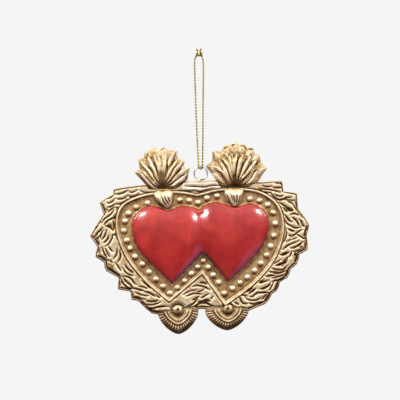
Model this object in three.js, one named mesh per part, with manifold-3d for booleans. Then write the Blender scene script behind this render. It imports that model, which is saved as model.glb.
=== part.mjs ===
// Milagro heart ornament: twin red enamel hearts on a gilt leaf-bordered plate, hung by a ring and a cord.
// Millimetres. World frame: +Z up, the face looks along -Y, origin where a hook holds the top of the cord.
// The face pieces are drawn flat in a face frame, x right, y up, z out of the plate's back, and stood up.

import * as THREE from 'three'
import { mergeVertices } from 'three/addons/utils/BufferGeometryUtils.js'
import Module from 'manifold-3d'

const wasm = await Module()
wasm.setup()

// The face, over the leaf tips and from the shells to the highest petal.
const faceWidth = 105.7
const faceHeight = 92.1

// Hanging: jump ring, eye and the tilt at which the plate hangs.
const ringRadius = 3.15
const ringWire = 0.7
const ringCentreBelowHook = 55.3
const ringSplit = 0.12
const ringSplitAngle = -0.75
const eyeOffset = -1.0
const eyeHoleRadius = 0.65
const eyeWall = 0.4
const eyeWidth = 1.2
const eyeFootLength = 1.9
const eyeSag = 0.04
const eyeAcross = -0.14
const eyeAboveEdge = 0.6
const eyePlaneDepth = 2.5
const hangTilt = THREE.MathUtils.degToRad(0.6)

// Cord and its knot.
const cordDiameter = 1.0
const cordSides = 8
const cordSteps = 72
const knotRadius = 1.35
const knotHeight = 2.2
const knotLift = 2.0
const tailLength = 3.0

// Depths of the layers, measured from the plate's flat back.
const plateThickness = 1.6
const borderBase = 1.2
const fieldThickness = 1.2
const mouldingHeight = 2.3
const mouldingHalfWidth = 0.95
const mouldingGroove = 0.6
const gap = 0.3

// Beaded field.
const beadRadius = 1.5
const beadSink = 0.15
const beadInset = 3.7
const beadSides = 8

// Enamel hearts.
const enamelEdge = 1.4
const enamelCrown = 5.0
const enamelRings = 5

// Leaf border: the plate shows as a lip outside it, wider between the flames.
const lipWidth = 1.1
const topLipWidth = 2.8
const topLipHalfLength = 8.0
const bandWidth = 0.605
const leafBladeWidth = 1.1
const leafBladeHeight = 1.5
const bladesPerLeaf = 4
const leafBow = 0.1
const bandRidgePitch = 1.45

// Flames.
const flameBackBase = 1.6
const flameFrontBase = 1.4
const petalHeight = 1.5
const petalSink = 0.4
const petalNotch = 0.86
const petalBow = 1.1
const flameFootHalfWidth = 6.4
const frontFootHalfWidth = 4.6
const flamePlateInset = 1.0

// Small fluted hearts at the flames' feet.
const smallHeartWidth = 9.3
const smallHeartCrown = 3.2
const smallHeartEdge = 1.2
const smallHeartFlutes = 5
const fluteHeight = 0.8

// Shell drops and their bosses.
const shellTaper = 1.55
const shellBase = 1.4
const shellFlutes = 17
const shellFluteHeight = 1.0
const shellRidgeHeight = 1.5
const shellRidgePitch = 1.9
const bossRadius = 2.35
const bossHeight = 2.3

const gilt = { color: 0xb8924e, roughness: 0.42, metalness: 0.85 }
const giltBright = { color: 0xcfae6c, roughness: 0.38, metalness: 0.85 }
const patina = { color: 0x9a7440, roughness: 0.5, metalness: 0.75 }
const enamel = { color: 0xab2420, roughness: 0.12, metalness: 0.0 }
const steel = { color: 0x9a978c, roughness: 0.3, metalness: 1.0 }
const lurex = { color: 0xc2a560, roughness: 0.55, metalness: 0.4 }

// The ornament is hand finished, so its two halves differ a little. Each half is written outwards from the
// centre line, from the top cleft down to the lower tip. The drawing is stretched to the face's width and height.
const drawnCleft = [-0.9, 19.0]
const drawnApex = [0.4, -17.9]
const drawnCrease = [-0.4, 12.0]
const drawnEnamelApex = [1.0, -8.9]
const drawnLipNotch = [-0.8, -35.6]

const halves = {
  left: {
    sign: -1,
    line: [
      [11.8, 20.7], [28.7, 19.0], [37.6, 14.2], [39.9, 5.0], [36.1, -8.2], [27.0, -20.8], [15.8, -31.0],
    ],
    beads: { count: 13, start: 24.2, end: 0.3, inner: 4, innerStart: 4.6, innerEnd: 3.6 },
    lobe: [[3.2, 13.4], [9.0, 14.1], [15.2, 12.3]],
    flank: [[24.4, 14.7], [31.8, 9.5], [33.1, 2.8], [30.3, -6.4], [21.4, -16.7], [14.2, -23.5]],
    domeCentre: [17.0, -0.5],
    leaves: [
      { tip: [41.3, 23.2], notch: [41.4, 20.8] }, { tip: [48.2, 16.9], notch: [46.4, 11.3] },
      { tip: [53.2, 0.9], notch: [49.7, -4.5] }, { tip: [50.8, -9.2], notch: [46.8, -12.0] },
      { tip: [45.9, -16.1], notch: [39.8, -19.6] }, { tip: [40.4, -25.1], notch: [34.2, -26.5] },
      { tip: [34.0, -30.3], notch: [30.9, -30.9] }, { tip: [24.4, -37.1], notch: [21.0, -37.8] },
    ],
    shoulder: [30.0, 24.6],
    flameFoot: [17.5, 22.7],
    flame: {
      petals: 8, from: -56.5, to: 59.5, reach: 20.2, ends: [16.5, 15.6], width: 3.1, low: { at: -71, reach: 12.6 },
    },
    flameFront: { petals: 7, from: -44, to: 48, reach: 15.6, ends: [12.8, 12.6], width: 2.5 },
    smallHeart: { top: [17.3, 21.9], length: 8.6, lean: -7 },
    shell: { centre: [11.8, -37.0], halfWidth: 9.8, fall: 10.4, rise: 5.4 },
    boss: [11.5, -35.7],
  },
  right: {
    sign: 1,
    line: [
      [10.8, 21.3], [28.0, 19.9], [37.0, 13.5], [39.6, 3.0], [35.6, -11.0], [25.4, -23.2], [11.0, -33.5],
    ],
    beads: { count: 13, start: 25.2, end: 4.4, inner: 4, innerStart: 4.2, innerEnd: 1.6 },
    lobe: [[2.6, 14.3], [8.0, 15.6], [16.7, 12.9]],
    flank: [[25.2, 14.4], [31.2, 10.4], [33.2, 3.4], [29.9, -6.2], [22.0, -14.8], [12.5, -23.2]],
    domeCentre: [16.5, 0.0],
    leaves: [
      { tip: [39.9, 25.1], notch: [40.5, 20.1] }, { tip: [46.9, 18.9], notch: [47.2, 11.7] },
      { tip: [52.5, 3.4], notch: [51.0, -1.6] }, { tip: [51.3, -8.5], notch: [47.4, -10.6] },
      { tip: [45.8, -15.4], notch: [42.9, -17.7] }, { tip: [41.1, -21.7], notch: [37.7, -23.6] },
      { tip: [35.9, -27.8], notch: [33.7, -29.2] }, { tip: [30.4, -33.9], notch: [21.8, -37.2] },
    ],
    shoulder: [30.1, 24.7],
    flameFoot: [17.1, 22.7],
    flame: {
      petals: 9, from: -53.5, to: 62, reach: 22.0, ends: [16.6, 18.4], width: 3.0, low: { at: 77, reach: 12.3 },
    },
    flameFront: { petals: 7, from: -45, to: 52, reach: 16.9, ends: [13.2, 14.0], width: 2.6 },
    smallHeart: { top: [16.6, 22.1], length: 8.8, lean: 2 },
    shell: { centre: [11.7, -37.0], halfWidth: 10.5, fall: 9.2, rise: 5.0 },
    boss: [12.2, -35.9],
  },
}

// Flat drawing helpers. A path is a list of [x, y].
const lerp = (a, b, t) => [a[0] + (b[0] - a[0]) * t, a[1] + (b[1] - a[1]) * t]
const distance = (a, b) => Math.hypot(b[0] - a[0], b[1] - a[1])

// Samples a smooth curve through a few points, without repeating its last point.
function smooth(points, count) {
  const through = points.map(([x, y]) => new THREE.Vector3(x, y, 0))
  const curve = new THREE.CatmullRomCurve3(through, false, 'centripetal')
  return curve.getSpacedPoints(count).slice(0, count).map((p) => [p.x, p.y])
}

// Moves a closed anticlockwise path inwards by a distance (outwards if negative), with mitred corners.
function inset(path, amount) {
  return path.map((p, i) => {
    const before = path[(i + path.length - 1) % path.length]
    const after = path[(i + 1) % path.length]
    const a = distance(before, p)
    const b = distance(p, after)
    const n1 = [-(p[1] - before[1]) / a, (p[0] - before[0]) / a]
    const n2 = [-(after[1] - p[1]) / b, (after[0] - p[0]) / b]
    const scale = amount / Math.max(0.25, 1 + n1[0] * n2[0] + n1[1] * n2[1])
    return [p[0] + (n1[0] + n2[0]) * scale, p[1] + (n1[1] + n2[1]) * scale]
  })
}

// Points at equal steps along an open path, from a start length to an end length.
function along(path, from, to, count) {
  const lengths = [0]
  for (let i = 1; i < path.length; i++) lengths.push(lengths[i - 1] + distance(path[i - 1], path[i]))
  const last = lengths[lengths.length - 1] - to
  const found = []
  for (let k = 0; k < count; k++) {
    const s = count === 1 ? from : from + ((last - from) * k) / (count - 1)
    let i = 1
    while (i < path.length - 1 && lengths[i] < s) i++
    found.push(lerp(path[i - 1], path[i], (s - lengths[i - 1]) / (lengths[i] - lengths[i - 1])))
  }
  return found
}

// Solids in the face frame.
function geometryOf(vertices, triangles) {
  const geometry = new THREE.BufferGeometry()
  geometry.setAttribute('position', new THREE.Float32BufferAttribute(vertices.flat(), 3))
  geometry.setIndex(triangles.flat())
  return geometry
}

function toSolid(geometry) {
  const bare = geometry.clone()
  bare.deleteAttribute('normal')
  bare.deleteAttribute('uv')
  const merged = mergeVertices(bare, 1e-4)
  const vertProperties = merged.attributes.position.array
  return new wasm.Manifold(new wasm.Mesh({ numProp: 3, vertProperties, triVerts: merged.index.array }))
}

function toGeometry(solid) {
  const mesh = solid.getMesh()
  const geometry = new THREE.BufferGeometry()
  geometry.setAttribute('position', new THREE.BufferAttribute(mesh.vertProperties, 3))
  geometry.setIndex(new THREE.BufferAttribute(mesh.triVerts, 1))
  return geometry
}

const joined = (solids) => solids.reduce((whole, next) => whole.add(next))

function slab(path, from, to) {
  const shape = new THREE.Shape(path.map(([x, y]) => new THREE.Vector2(x, y)))
  const geometry = new THREE.ExtrudeGeometry(shape, { depth: to - from, bevelEnabled: false })
  return toSolid(geometry.translate(0, 0, from))
}

// A raised stroke along an open path: pointed at both ends, rounded across, rooted in what carries it.
function stroke(path, halfWidth, base, height, fullness = 1, sides = 3) {
  const vertices = [[...path[0], base]]
  const triangles = []
  const ring = sides + 2
  const last = path.length - 1
  for (let i = 1; i < last; i++) {
    const swell = Math.sin(Math.PI * (i / last) ** fullness) ** 0.7
    const step = distance(path[i - 1], path[i + 1])
    const across = [-(path[i + 1][1] - path[i - 1][1]) / step, (path[i + 1][0] - path[i - 1][0]) / step]
    for (let k = 0; k <= sides; k++) {
      const turn = (Math.PI * k) / sides
      const out = Math.cos(turn) * halfWidth * swell
      const rise = Math.sin(turn) * height * swell
      vertices.push([path[i][0] + across[0] * out, path[i][1] + across[1] * out, base + rise])
    }
    vertices.push([path[i][0], path[i][1], base - petalSink])
  }
  vertices.push([...path[last], base])
  for (let i = 0; i < last - 2; i++) {
    for (let k = 0; k < ring; k++) {
      const a = 1 + i * ring + k
      const b = 1 + i * ring + ((k + 1) % ring)
      triangles.push([a, a + ring, b], [b, a + ring, b + ring])
    }
  }
  for (let k = 0; k < ring; k++) {
    const next = (k + 1) % ring
    triangles.push([0, 1 + k, 1 + next])
    triangles.push([vertices.length - 1, 1 + (last - 2) * ring + next, 1 + (last - 2) * ring + k])
  }
  const geometry = geometryOf(vertices, triangles)
  const solid = toSolid(geometry)
  return solid.volume() > 0 ? solid : toSolid(geometryOf(vertices, triangles.map(([a, b, c]) => [a, c, b])))
}

// A pillow over a flat outline: an upright edge, then rings that close over a crown.
function pillow(path, centre, base, edge, crown, rings) {
  const vertices = [[...centre, base]]
  const triangles = []
  const count = path.length
  path.forEach((p) => vertices.push([...p, base]))
  for (let r = 0; r < rings; r++) {
    const turn = (Math.PI / 2) * (r / rings)
    const rise = base + edge + (crown - edge) * Math.sin(turn) ** 0.9
    path.forEach((p) => vertices.push([...lerp(centre, p, Math.cos(turn) ** 1.1), rise]))
  }
  vertices.push([...centre, base + crown])
  for (let k = 0; k < count; k++) {
    const next = (k + 1) % count
    triangles.push([0, 1 + next, 1 + k])
    for (let r = 0; r < rings; r++) {
      const a = 1 + r * count
      triangles.push([a + k, a + next, a + count + k], [a + next, a + count + next, a + count + k])
    }
    triangles.push([1 + rings * count + k, 1 + rings * count + next, vertices.length - 1])
  }
  return toSolid(geometryOf(vertices, triangles))
}

// A closed moulding: one profile of [offset, height] carried round a closed path.
function moulding(path, profile, base) {
  const loops = profile.map(([offset, height]) => inset(path, offset).map((p) => [...p, base + height]))
  const vertices = loops.flat()
  const triangles = []
  const count = path.length
  loops.forEach((_, j) => {
    const here = j * count
    const there = ((j + 1) % loops.length) * count
    for (let i = 0; i < count; i++) {
      const next = (i + 1) % count
      triangles.push([here + i, here + next, there + i], [here + next, there + next, there + i])
    }
  })
  return toSolid(geometryOf(vertices, triangles))
}

// Outlines shared by the pieces.
const left = halves.left
const right = halves.right
const farthest = (half) => Math.max(...half.leaves.map(({ tip }) => tip[0]))
const highest = (half) => half.flameFoot[1] + half.flame.reach
const lowest = (half) => half.shell.centre[1] - half.shell.fall
const drawnHeight = Math.max(highest(left), highest(right)) - Math.min(lowest(left), lowest(right))
const across = faceWidth / (farthest(left) + farthest(right))
const upright = faceHeight / drawnHeight
const spot = ([x, y]) => [x * across, y * upright]
const place = (half, [x, y]) => spot([half.sign * x, y])
const placed = (half, points) => points.map((p) => place(half, p))
const lowerTip = (half) => place(half, half.line[half.line.length - 1])
const topCleft = spot(drawnCleft)
const apex = spot(drawnApex)
const crease = spot(drawnCrease)
const enamelApex = spot(drawnEnamelApex)

// The heart line runs anticlockwise: top cleft, left flank, left tip, apex, right tip, right flank.
const flankSteps = 30
const slopeSteps = 6
const heartArcs = {
  left: smooth([topCleft, ...placed(left, left.line)], flankSteps),
  leftSlope: smooth([lowerTip(left), apex], slopeSteps),
  rightSlope: smooth([apex, lowerTip(right)], slopeSteps),
  right: smooth([topCleft, ...placed(right, right.line)].reverse(), flankSteps),
}
const heartLine = [...heartArcs.left, ...heartArcs.leftSlope, ...heartArcs.rightSlope, ...heartArcs.right]
const fieldOutline = inset(heartLine, mouldingHalfWidth + gap)
const borderInner = inset(heartLine, -mouldingHalfWidth - gap)
const beadLine = inset(heartLine, beadInset)

// The band between the flames is narrowest over the heart line's lobes, and the eye stands on the lip above it.
const heartTop = Math.max(...heartLine.map(([, y]) => y))
const borderTop = heartTop + mouldingHalfWidth + gap + bandWidth
const topEdge = borderTop + topLipWidth
const eyeOnFace = [eyeAcross, topEdge + eyeAboveEdge]

const lip = []
const leafEdge = (half) => {
  const points = [place(half, half.shoulder)]
  let last = half.shoulder
  half.leaves.forEach(({ tip, notch }) => {
    const bulge = lerp(last, tip, 0.55).map((value) => value * 1.006)
    points.push(...placed(half, [bulge, tip, notch]))
    last = notch
  })
  return points
}
const lipTop = [[topLipHalfLength, topEdge], [-topLipHalfLength, topEdge]]
lip.push(...lipTop, ...leafEdge(left), spot(drawnLipNotch), ...leafEdge(right).reverse())
const borderOuter = inset(lip, lipWidth)

// A fan of pointed petals about a foot: angles in degrees from straight up, outwards positive. One flank of a rear
// fan ends in a short low petal.
function inFan(foot, turn, reach) {
  const [x, y] = spot([Math.sin(turn) * reach, Math.cos(turn) * reach])
  return [foot[0] + x, foot[1] + y]
}

function petalTips(half, fan, foot) {
  const spokes = []
  const middle = (fan.from + fan.to) / 2
  const spread = (fan.to - fan.from) / 2
  for (let i = 0; i < fan.petals; i++) {
    const at = fan.from + ((fan.to - fan.from) * i) / (fan.petals - 1)
    const off = (at - middle) / spread
    const reach = fan.reach - (fan.reach - fan.ends[off < 0 ? 0 : 1]) * Math.abs(off) ** 2.2
    spokes.push({ at, reach })
  }
  if (fan.low) spokes.push(fan.low)
  spokes.sort((a, b) => (a.at - b.at) * -half.sign)
  return spokes.map(({ at, reach }) => {
    const turn = THREE.MathUtils.degToRad(at) * half.sign
    return { turn, reach, tip: inFan(foot, turn, reach) }
  })
}

function fanOutline(half, fan, foot, footHalfWidth) {
  const tips = petalTips(half, fan, foot)
  const path = []
  const side = (p) => [foot[0] + Math.sign(p.tip[0] - foot[0]) * footHalfWidth, foot[1]]
  tips.forEach((p, i) => {
    if (i > 0) {
      const turn = (tips[i - 1].turn + p.turn) / 2
      const reach = ((tips[i - 1].reach + p.reach) / 2) * petalNotch
      path.push(inFan(foot, turn, reach))
    }
    path.push(p.tip)
  })
  path.push(side(tips[tips.length - 1]), side(tips[0]))
  return THREE.ShapeUtils.area(path.map(([x, y]) => new THREE.Vector2(x, y))) > 0 ? path : path.reverse()
}

// Each petal starts on the foot's width, bows outwards and ends at its tip.
function fan(half, shape, foot, footHalfWidth, from, base) {
  const petals = petalTips(half, shape, foot).map(({ tip, turn, reach }) => {
    const root = [foot[0] + footHalfWidth * 0.75 * Math.sin(turn), foot[1] + 0.4]
    const middle = lerp(root, tip, 0.5)
    const bow = petalBow * Math.sin(turn)
    const elbow = [middle[0] + bow, middle[1] - Math.abs(bow)]
    const path = []
    for (let i = 0; i <= 6; i++) path.push(lerp(lerp(root, elbow, i / 6), lerp(elbow, tip, i / 6), i / 6))
    return stroke(path, shape.width * (reach / shape.reach), from + base, petalHeight, 1.5, 3)
  })
  return joined([slab(fanOutline(half, shape, foot, footHalfWidth), from, from + base), ...petals])
}

// A small heart is drawn from its upper cleft, about its own top-to-foot axis, and leans with its flame.
function turned(half, [x, y]) {
  const turn = THREE.MathUtils.degToRad(half.smallHeart.lean) * half.sign
  const at = place(half, half.smallHeart.top)
  return [at[0] + x * Math.cos(turn) - y * Math.sin(turn), at[1] + x * Math.sin(turn) + y * Math.cos(turn)]
}

function smallHeartOutline(half) {
  const w = smallHeartWidth / 2
  const foot = [0, -half.smallHeart.length * upright]
  const drawn = [[0, -0.5], [-w * 0.45, 0.35], [-w * 0.92, -0.9], [-w, -2.9], [-w * 0.62, -5.8], foot]
  const path = [...smooth(drawn, 12), ...smooth(drawn.map(([x, y]) => [-x, y]).reverse(), 12)]
  return path.map((point) => turned(half, point))
}

// A scallop: a low round head under the border, and a body that tapers to a blunt point below it.
function onShell(half, turn, share = 1) {
  const { centre, halfWidth, fall, rise } = half.shell
  const below = Math.sin(turn) < 0
  const curve = (value) => Math.sign(value) * Math.abs(value) ** (below ? 2 / shellTaper : 1)
  const at = place(half, centre)
  const [x, y] = spot([curve(Math.cos(turn)) * halfWidth, curve(Math.sin(turn)) * (below ? fall : rise)])
  return [at[0] + x * share, at[1] + y * share]
}

function shellOutline(half) {
  const path = []
  for (let i = 0; i < 48; i++) path.push(onShell(half, (2 * Math.PI * i) / 48))
  return path
}

const flameFoot = (half) => place(half, half.flameFoot)
const rearFan = (half) => fanOutline(half, half.flame, flameFoot(half), flameFootHalfWidth)
const flameOutlines = [left, right].map(rearFan)
const smallHeartOutlines = [left, right].map(smallHeartOutline)
const shellOutlines = [left, right].map(shellOutline)
const seat = plateThickness + fieldThickness
const flameTop = plateThickness + flameBackBase + flameFrontBase + petalHeight
const reliefTop = 2 * Math.max(flameTop, seat + enamelCrown, seat + smallHeartCrown + fluteHeight)

// Backing plate: one flat sheet behind everything, standing out as the lip round the leaves.
const backingPlate = joined([
  slab(lip, 0, plateThickness),
  ...shellOutlines.map((path) => slab(path, 0, plateThickness)),
  ...flameOutlines.map((path) => slab(inset(path, flamePlateInset), 0, plateThickness)),
])

// Leaf border: a base band with overlapping leaf strokes that sweep down towards each tip.
function leafStrokes(half) {
  const edge = half.sign < 0 ? heartArcs.left : heartArcs.right
  const nearer = (target) => (best, p) => (distance(p, target) < distance(best, target) ? p : best)
  const root = (target) => edge.reduce(nearer(target))
  const inwards = (point, amount) => lerp(point, root(point), amount / distance(point, root(point)))
  const strokes = []
  let last = half.shoulder
  half.leaves.forEach((leaf) => {
    const start = inwards(place(half, last), lipWidth + leafBladeWidth)
    const tip = inwards(place(half, leaf.tip), lipWidth + leafBladeWidth)
    const notch = inwards(place(half, leaf.notch), lipWidth + leafBladeWidth)
    const clear = mouldingHalfWidth + gap + leafBladeWidth
    const innerStart = lerp(root(start), start, clear / distance(root(start), start))
    const innerNotch = lerp(root(notch), notch, clear / distance(root(notch), notch))
    for (let k = 0; k < bladesPerLeaf; k++) {
      const t = k / (bladesPerLeaf - 1)
      const from = lerp(innerStart, start, t)
      const to = t < 0.5 ? lerp(innerNotch, notch, t * 2) : lerp(notch, tip, t * 2 - 1)
      const bow = [(to[1] - from[1]) * leafBow * half.sign, (from[0] - to[0]) * leafBow * half.sign]
      const path = []
      for (let i = 0; i <= 5; i++) {
        const lift = Math.sin((Math.PI * i) / 5)
        const at = lerp(from, to, i / 5)
        path.push([at[0] - bow[0] * lift, at[1] - bow[1] * lift])
      }
      strokes.push(stroke(path, leafBladeWidth, plateThickness + borderBase, leafBladeHeight, 1.2, 2))
    }
    last = leaf.notch
  })
  return strokes
}

function bandRidges() {
  const band = [...heartArcs.right.slice(-9), ...heartArcs.left.slice(0, 9)]
  return [1, 2].map((row) => {
    const out = mouldingHalfWidth + gap + bandRidgePitch * (row - 0.45)
    const path = inset([...band, [0, 0]], -out).slice(1, -2)
    return stroke(path, bandRidgePitch * 0.42, plateThickness + borderBase, leafBladeHeight * 0.8, 1, 3)
  })
}

// Strokes that fan down from the apex into the triangle between the two shells.
function apexStrokes() {
  const strokes = []
  const rows = [[2.6, 5.2], [6.4, 5.6], [10.2, 5.4]]
  rows.forEach(([drop, length]) => {
    [-1, 1].forEach((side) => {
      const path = []
      for (let i = 0; i <= 6; i++) {
        const out = 0.5 + (length * i) / 6
        const sag = drop - 1.2 * Math.sin((Math.PI * i) / 6) + out * 0.55
        path.push([apex[0] + side * out, apex[1] - mouldingHalfWidth - sag])
      }
      strokes.push(stroke(path, leafBladeWidth, plateThickness + borderBase, leafBladeHeight, 1, 3))
    })
  })
  return strokes
}

// The border is fitted in four lengths, parted where the flames and the shell drops sit.
const borderHole = slab(borderInner, plateThickness - 1, reliefTop + 1)
const borderBand = slab(borderOuter, plateThickness, plateThickness + borderBase).subtract(borderHole)
const borderReach = slab(borderOuter, plateThickness, reliefTop).subtract(borderHole)

function borderLength(region, relief) {
  let length = joined([borderBand, ...relief]).intersect(borderReach)
  length = length.intersect(slab(region, plateThickness, reliefTop))
  const below = plateThickness - 1
  flameOutlines.forEach((path) => (length = length.subtract(slab(inset(path, -gap), below, reliefTop))))
  shellOutlines.forEach((path) => (length = length.subtract(slab(inset(path, -gap), below, reliefTop))))
  smallHeartOutlines.forEach((path) => (length = length.subtract(slab(inset(path, -gap), seat, reliefTop))))
  return length
}

const beyond = 2 * Math.max(...lip.map(([x, y]) => Math.hypot(x, y)))
const partings = (half) => [flameFoot(half)[0], lowerTip(half)[0]].map((x) => x + (half.sign * gap) / 2)
function sideRegion(half) {
  const [upper, lower] = partings(half)
  const out = half.sign * beyond
  const path = [[upper, beyond], [out, beyond], [out, -beyond], [lower, -beyond], [lower, 0], [upper, 0]]
  return half.sign > 0 ? path.reverse() : path
}
const between = (k, low, high) => {
  const [a, b] = [partings(left)[k] + gap, partings(right)[k] - gap]
  return [[a, low], [b, low], [b, high], [a, high]]
}

// Heart moulding: a double fillet with a groove between, on the plate.
const w = mouldingHalfWidth
const mouldingProfile = [
  [-w, 0], [-w, mouldingHeight * 0.65], [-w * 0.55, mouldingHeight], [0, mouldingHeight - mouldingGroove],
  [w * 0.55, mouldingHeight], [w, mouldingHeight * 0.65], [w, 0],
]
let heartMoulding = moulding(heartLine, mouldingProfile, plateThickness)
smallHeartOutlines.forEach((path) => {
  heartMoulding = heartMoulding.subtract(slab(inset(path, -gap), seat, reliefTop))
})
shellOutlines.forEach((path) => {
  heartMoulding = heartMoulding.subtract(slab(inset(path, -gap), plateThickness - 1, reliefTop))
})

// Beaded field: a thin panel inside the moulding with a row of round beads.
function beadCentres() {
  const n = flankSteps
  const arcs = {
    left: beadLine.slice(0, n + 1),
    leftSlope: beadLine.slice(n, n + slopeSteps + 1),
    rightSlope: beadLine.slice(n + slopeSteps, n + 2 * slopeSteps + 1),
    right: [...beadLine.slice(n + 2 * slopeSteps), beadLine[0]],
  }
  return [
    ...along(arcs.left, left.beads.start, left.beads.end, left.beads.count),
    ...along(arcs.leftSlope, left.beads.innerStart, left.beads.innerEnd, left.beads.inner),
    beadLine[n + slopeSteps],
    ...along(arcs.rightSlope, right.beads.innerStart, right.beads.innerEnd, right.beads.inner),
    ...along([...arcs.right].reverse(), right.beads.start, right.beads.end, right.beads.count),
    ...along(arcs.left, 4.6, 0, 1), ...along(arcs.left, 9.2, 0, 1), beadLine[0],
    ...along([...arcs.right].reverse(), 4.6, 0, 1), ...along([...arcs.right].reverse(), 9.4, 0, 1),
  ]
}

// The enamel hearts meet along the crease with a hairline between them, and the beads stand clear of both.
function enamelOutline(half) {
  const shift = (half.sign * gap) / 2
  const top = [crease[0] + shift, crease[1]]
  const foot = [enamelApex[0] + shift, enamelApex[1]]
  const lobe = placed(half, half.lobe)
  const flank = placed(half, half.flank)
  const path = [
    ...smooth([top, ...lobe], 12), ...smooth([lobe[lobe.length - 1], ...flank], 34),
    ...smooth([flank[flank.length - 1], foot], 8), ...smooth([foot, top], 8),
  ]
  return half.sign < 0 ? path : path.reverse()
}
const enamelOutlines = [left, right].map(enamelOutline)

const bead = ([x, y]) => {
  const ball = new THREE.SphereGeometry(beadRadius, beadSides, 4).rotateX(Math.PI / 2)
  return toSolid(ball.translate(x, y, seat - beadSink))
}
let beadedField = joined([slab(fieldOutline, plateThickness, seat), ...beadCentres().map(bead)])
beadedField = beadedField.intersect(slab(fieldOutline, plateThickness, reliefTop))
const onField = [...enamelOutlines, ...smallHeartOutlines]
onField.forEach((path) => {
  beadedField = beadedField.subtract(slab(inset(path, -gap), seat, reliefTop))
})
shellOutlines.forEach((path) => {
  beadedField = beadedField.subtract(slab(inset(path, -gap), plateThickness - 1, reliefTop))
})

// Enamel hearts: glossy domes poured on the field.
function enamelHeart(half, path) {
  return pillow(path, place(half, half.domeCentre), seat, enamelEdge, enamelCrown, enamelRings)
}

// Flames: a rear fan on the plate, and a shorter front fan seated in it.
function flamePair(half, index) {
  const foot = flameFoot(half)
  const frontFoot = [foot[0], foot[1] + 0.2]
  const frontSeat = plateThickness + flameBackBase
  const front = fanOutline(half, half.flameFront, frontFoot, frontFootHalfWidth)
  let back = fan(half, half.flame, foot, flameFootHalfWidth, plateThickness, flameBackBase)
  back = back.subtract(slab(inset(front, -gap), frontSeat, reliefTop))
  back = back.intersect(slab(flameOutlines[index], plateThickness, reliefTop))
  let forward = fan(half, half.flameFront, frontFoot, frontFootHalfWidth, frontSeat, flameFrontBase)
  forward = forward.intersect(slab(front, frontSeat, reliefTop))
  const heart = slab(inset(smallHeartOutlines[index], -gap), plateThickness - 1, reliefTop)
  return [back.subtract(heart), forward.subtract(heart)]
}

// Small fluted heart at a flame's foot.
function smallHeart(half, path) {
  const local = (x, y) => turned(half, [x, y])
  const body = pillow(path, local(0, -3.2), seat, smallHeartEdge, smallHeartCrown, 4)
  const flutes = []
  for (let k = 0; k < smallHeartFlutes; k++) {
    const x = (k / (smallHeartFlutes - 1) - 0.5) * smallHeartWidth * 0.72
    const rise = smallHeartCrown - 0.35 - Math.abs(x) * 0.28
    const line = []
    for (let i = 0; i <= 5; i++) {
      line.push(local(x * (1 - i / 5), -1.1 - (half.smallHeart.length * upright - 2.4) * (i / 5)))
    }
    flutes.push(stroke(line, 0.75, seat + rise, fluteHeight, 0.8, 3))
  }
  return joined([body, ...flutes]).intersect(slab(path, seat, reliefTop))
}

// Shell drop: a scallop with a fluted rim and two ridges hung round its boss.
function shellDrop(half, path) {
  const top = plateThickness + shellBase
  const clear = bossRadius + gap
  const [bx, by] = place(half, half.boss)
  const pieces = [slab(path, plateThickness, top)]
  for (let k = 0; k < shellFlutes; k++) {
    const turn = Math.PI + (Math.PI * (k + 0.5)) / shellFlutes
    const line = []
    for (let i = 0; i <= 4; i++) {
      line.push(onShell(half, turn, 0.74 + 0.25 * (i / 4)))
    }
    pieces.push(stroke(line, 0.62, top, shellFluteHeight, 1, 2))
  }
  for (let row = 0; row < 2; row++) {
    const r = clear + shellRidgePitch * (row + 0.75)
    const line = []
    for (let i = 0; i <= 16; i++) {
      const turn = Math.PI * (0.98 + (1.04 * i) / 16)
      line.push([bx + Math.cos(turn) * r * 1.12, by + Math.sin(turn) * r])
    }
    pieces.push(stroke(line, shellRidgePitch * 0.44, top, shellRidgeHeight, 1, 3))
  }
  const bossSeat = new THREE.CylinderGeometry(clear, clear, reliefTop, 24).rotateX(Math.PI / 2)
  const solid = joined(pieces).intersect(slab(path, plateThickness, reliefTop))
  return solid.subtract(toSolid(bossSeat.translate(bx, by, seat + reliefTop / 2)))
}

// Boss: a low ball with a dimple at its crown.
function boss(half) {
  const profile = [[0, 0], [bossRadius, 0], [bossRadius, 0.5]]
  for (let i = 1; i <= 5; i++) {
    const turn = (Math.PI / 2) * (i / 6)
    profile.push([bossRadius * Math.cos(turn), 0.5 + (bossHeight - 0.5) * Math.sin(turn)])
  }
  profile.push([0, bossHeight - 0.35])
  const points = profile.map(([x, y]) => new THREE.Vector2(x, y))
  const [bx, by] = place(half, half.boss)
  return toSolid(new THREE.LatheGeometry(points, 16).rotateX(Math.PI / 2).translate(bx, by, seat))
}

// Hanging eye: a small lug on the lip, bored from side to side for the ring.
function hangingEye() {
  const outer = eyeHoleRadius + eyeWall
  const depth = eyePlaneDepth - plateThickness
  const section = new THREE.Shape()
  section.moveTo(-depth, -eyeFootLength)
  section.lineTo(-depth + 0.9, -eyeFootLength)
  section.quadraticCurveTo(outer * 0.9, -outer * 1.2, outer, 0)
  section.absarc(0, 0, outer, 0, Math.PI * 0.75, false)
  section.lineTo(-depth, outer * 0.2)
  const hole = new THREE.Path()
  hole.absarc(0, 0, eyeHoleRadius, 0, Math.PI * 2, true)
  section.holes.push(hole)
  const options = { depth: eyeWidth, bevelEnabled: false, curveSegments: 8 }
  const geometry = new THREE.ExtrudeGeometry(section, options)
  geometry.rotateY(-Math.PI / 2)
  return toSolid(geometry.translate(eyeOnFace[0] + eyeWidth / 2, eyeOnFace[1], eyePlaneDepth))
}

// Jump ring, in the world frame round its own centre, sawn through at one side.
function jumpRing() {
  const torus = toSolid(new THREE.TorusGeometry(ringRadius, ringWire / 2, 8, 30))
  const saw = new THREE.BoxGeometry(ringWire * 3, ringSplit, ringWire * 3)
  saw.translate(ringRadius, 0, 0).rotateZ(ringSplitAngle)
  const geometry = toGeometry(torus.subtract(toSolid(saw)))
  return geometry.rotateX(Math.PI / 2)
}

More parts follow.
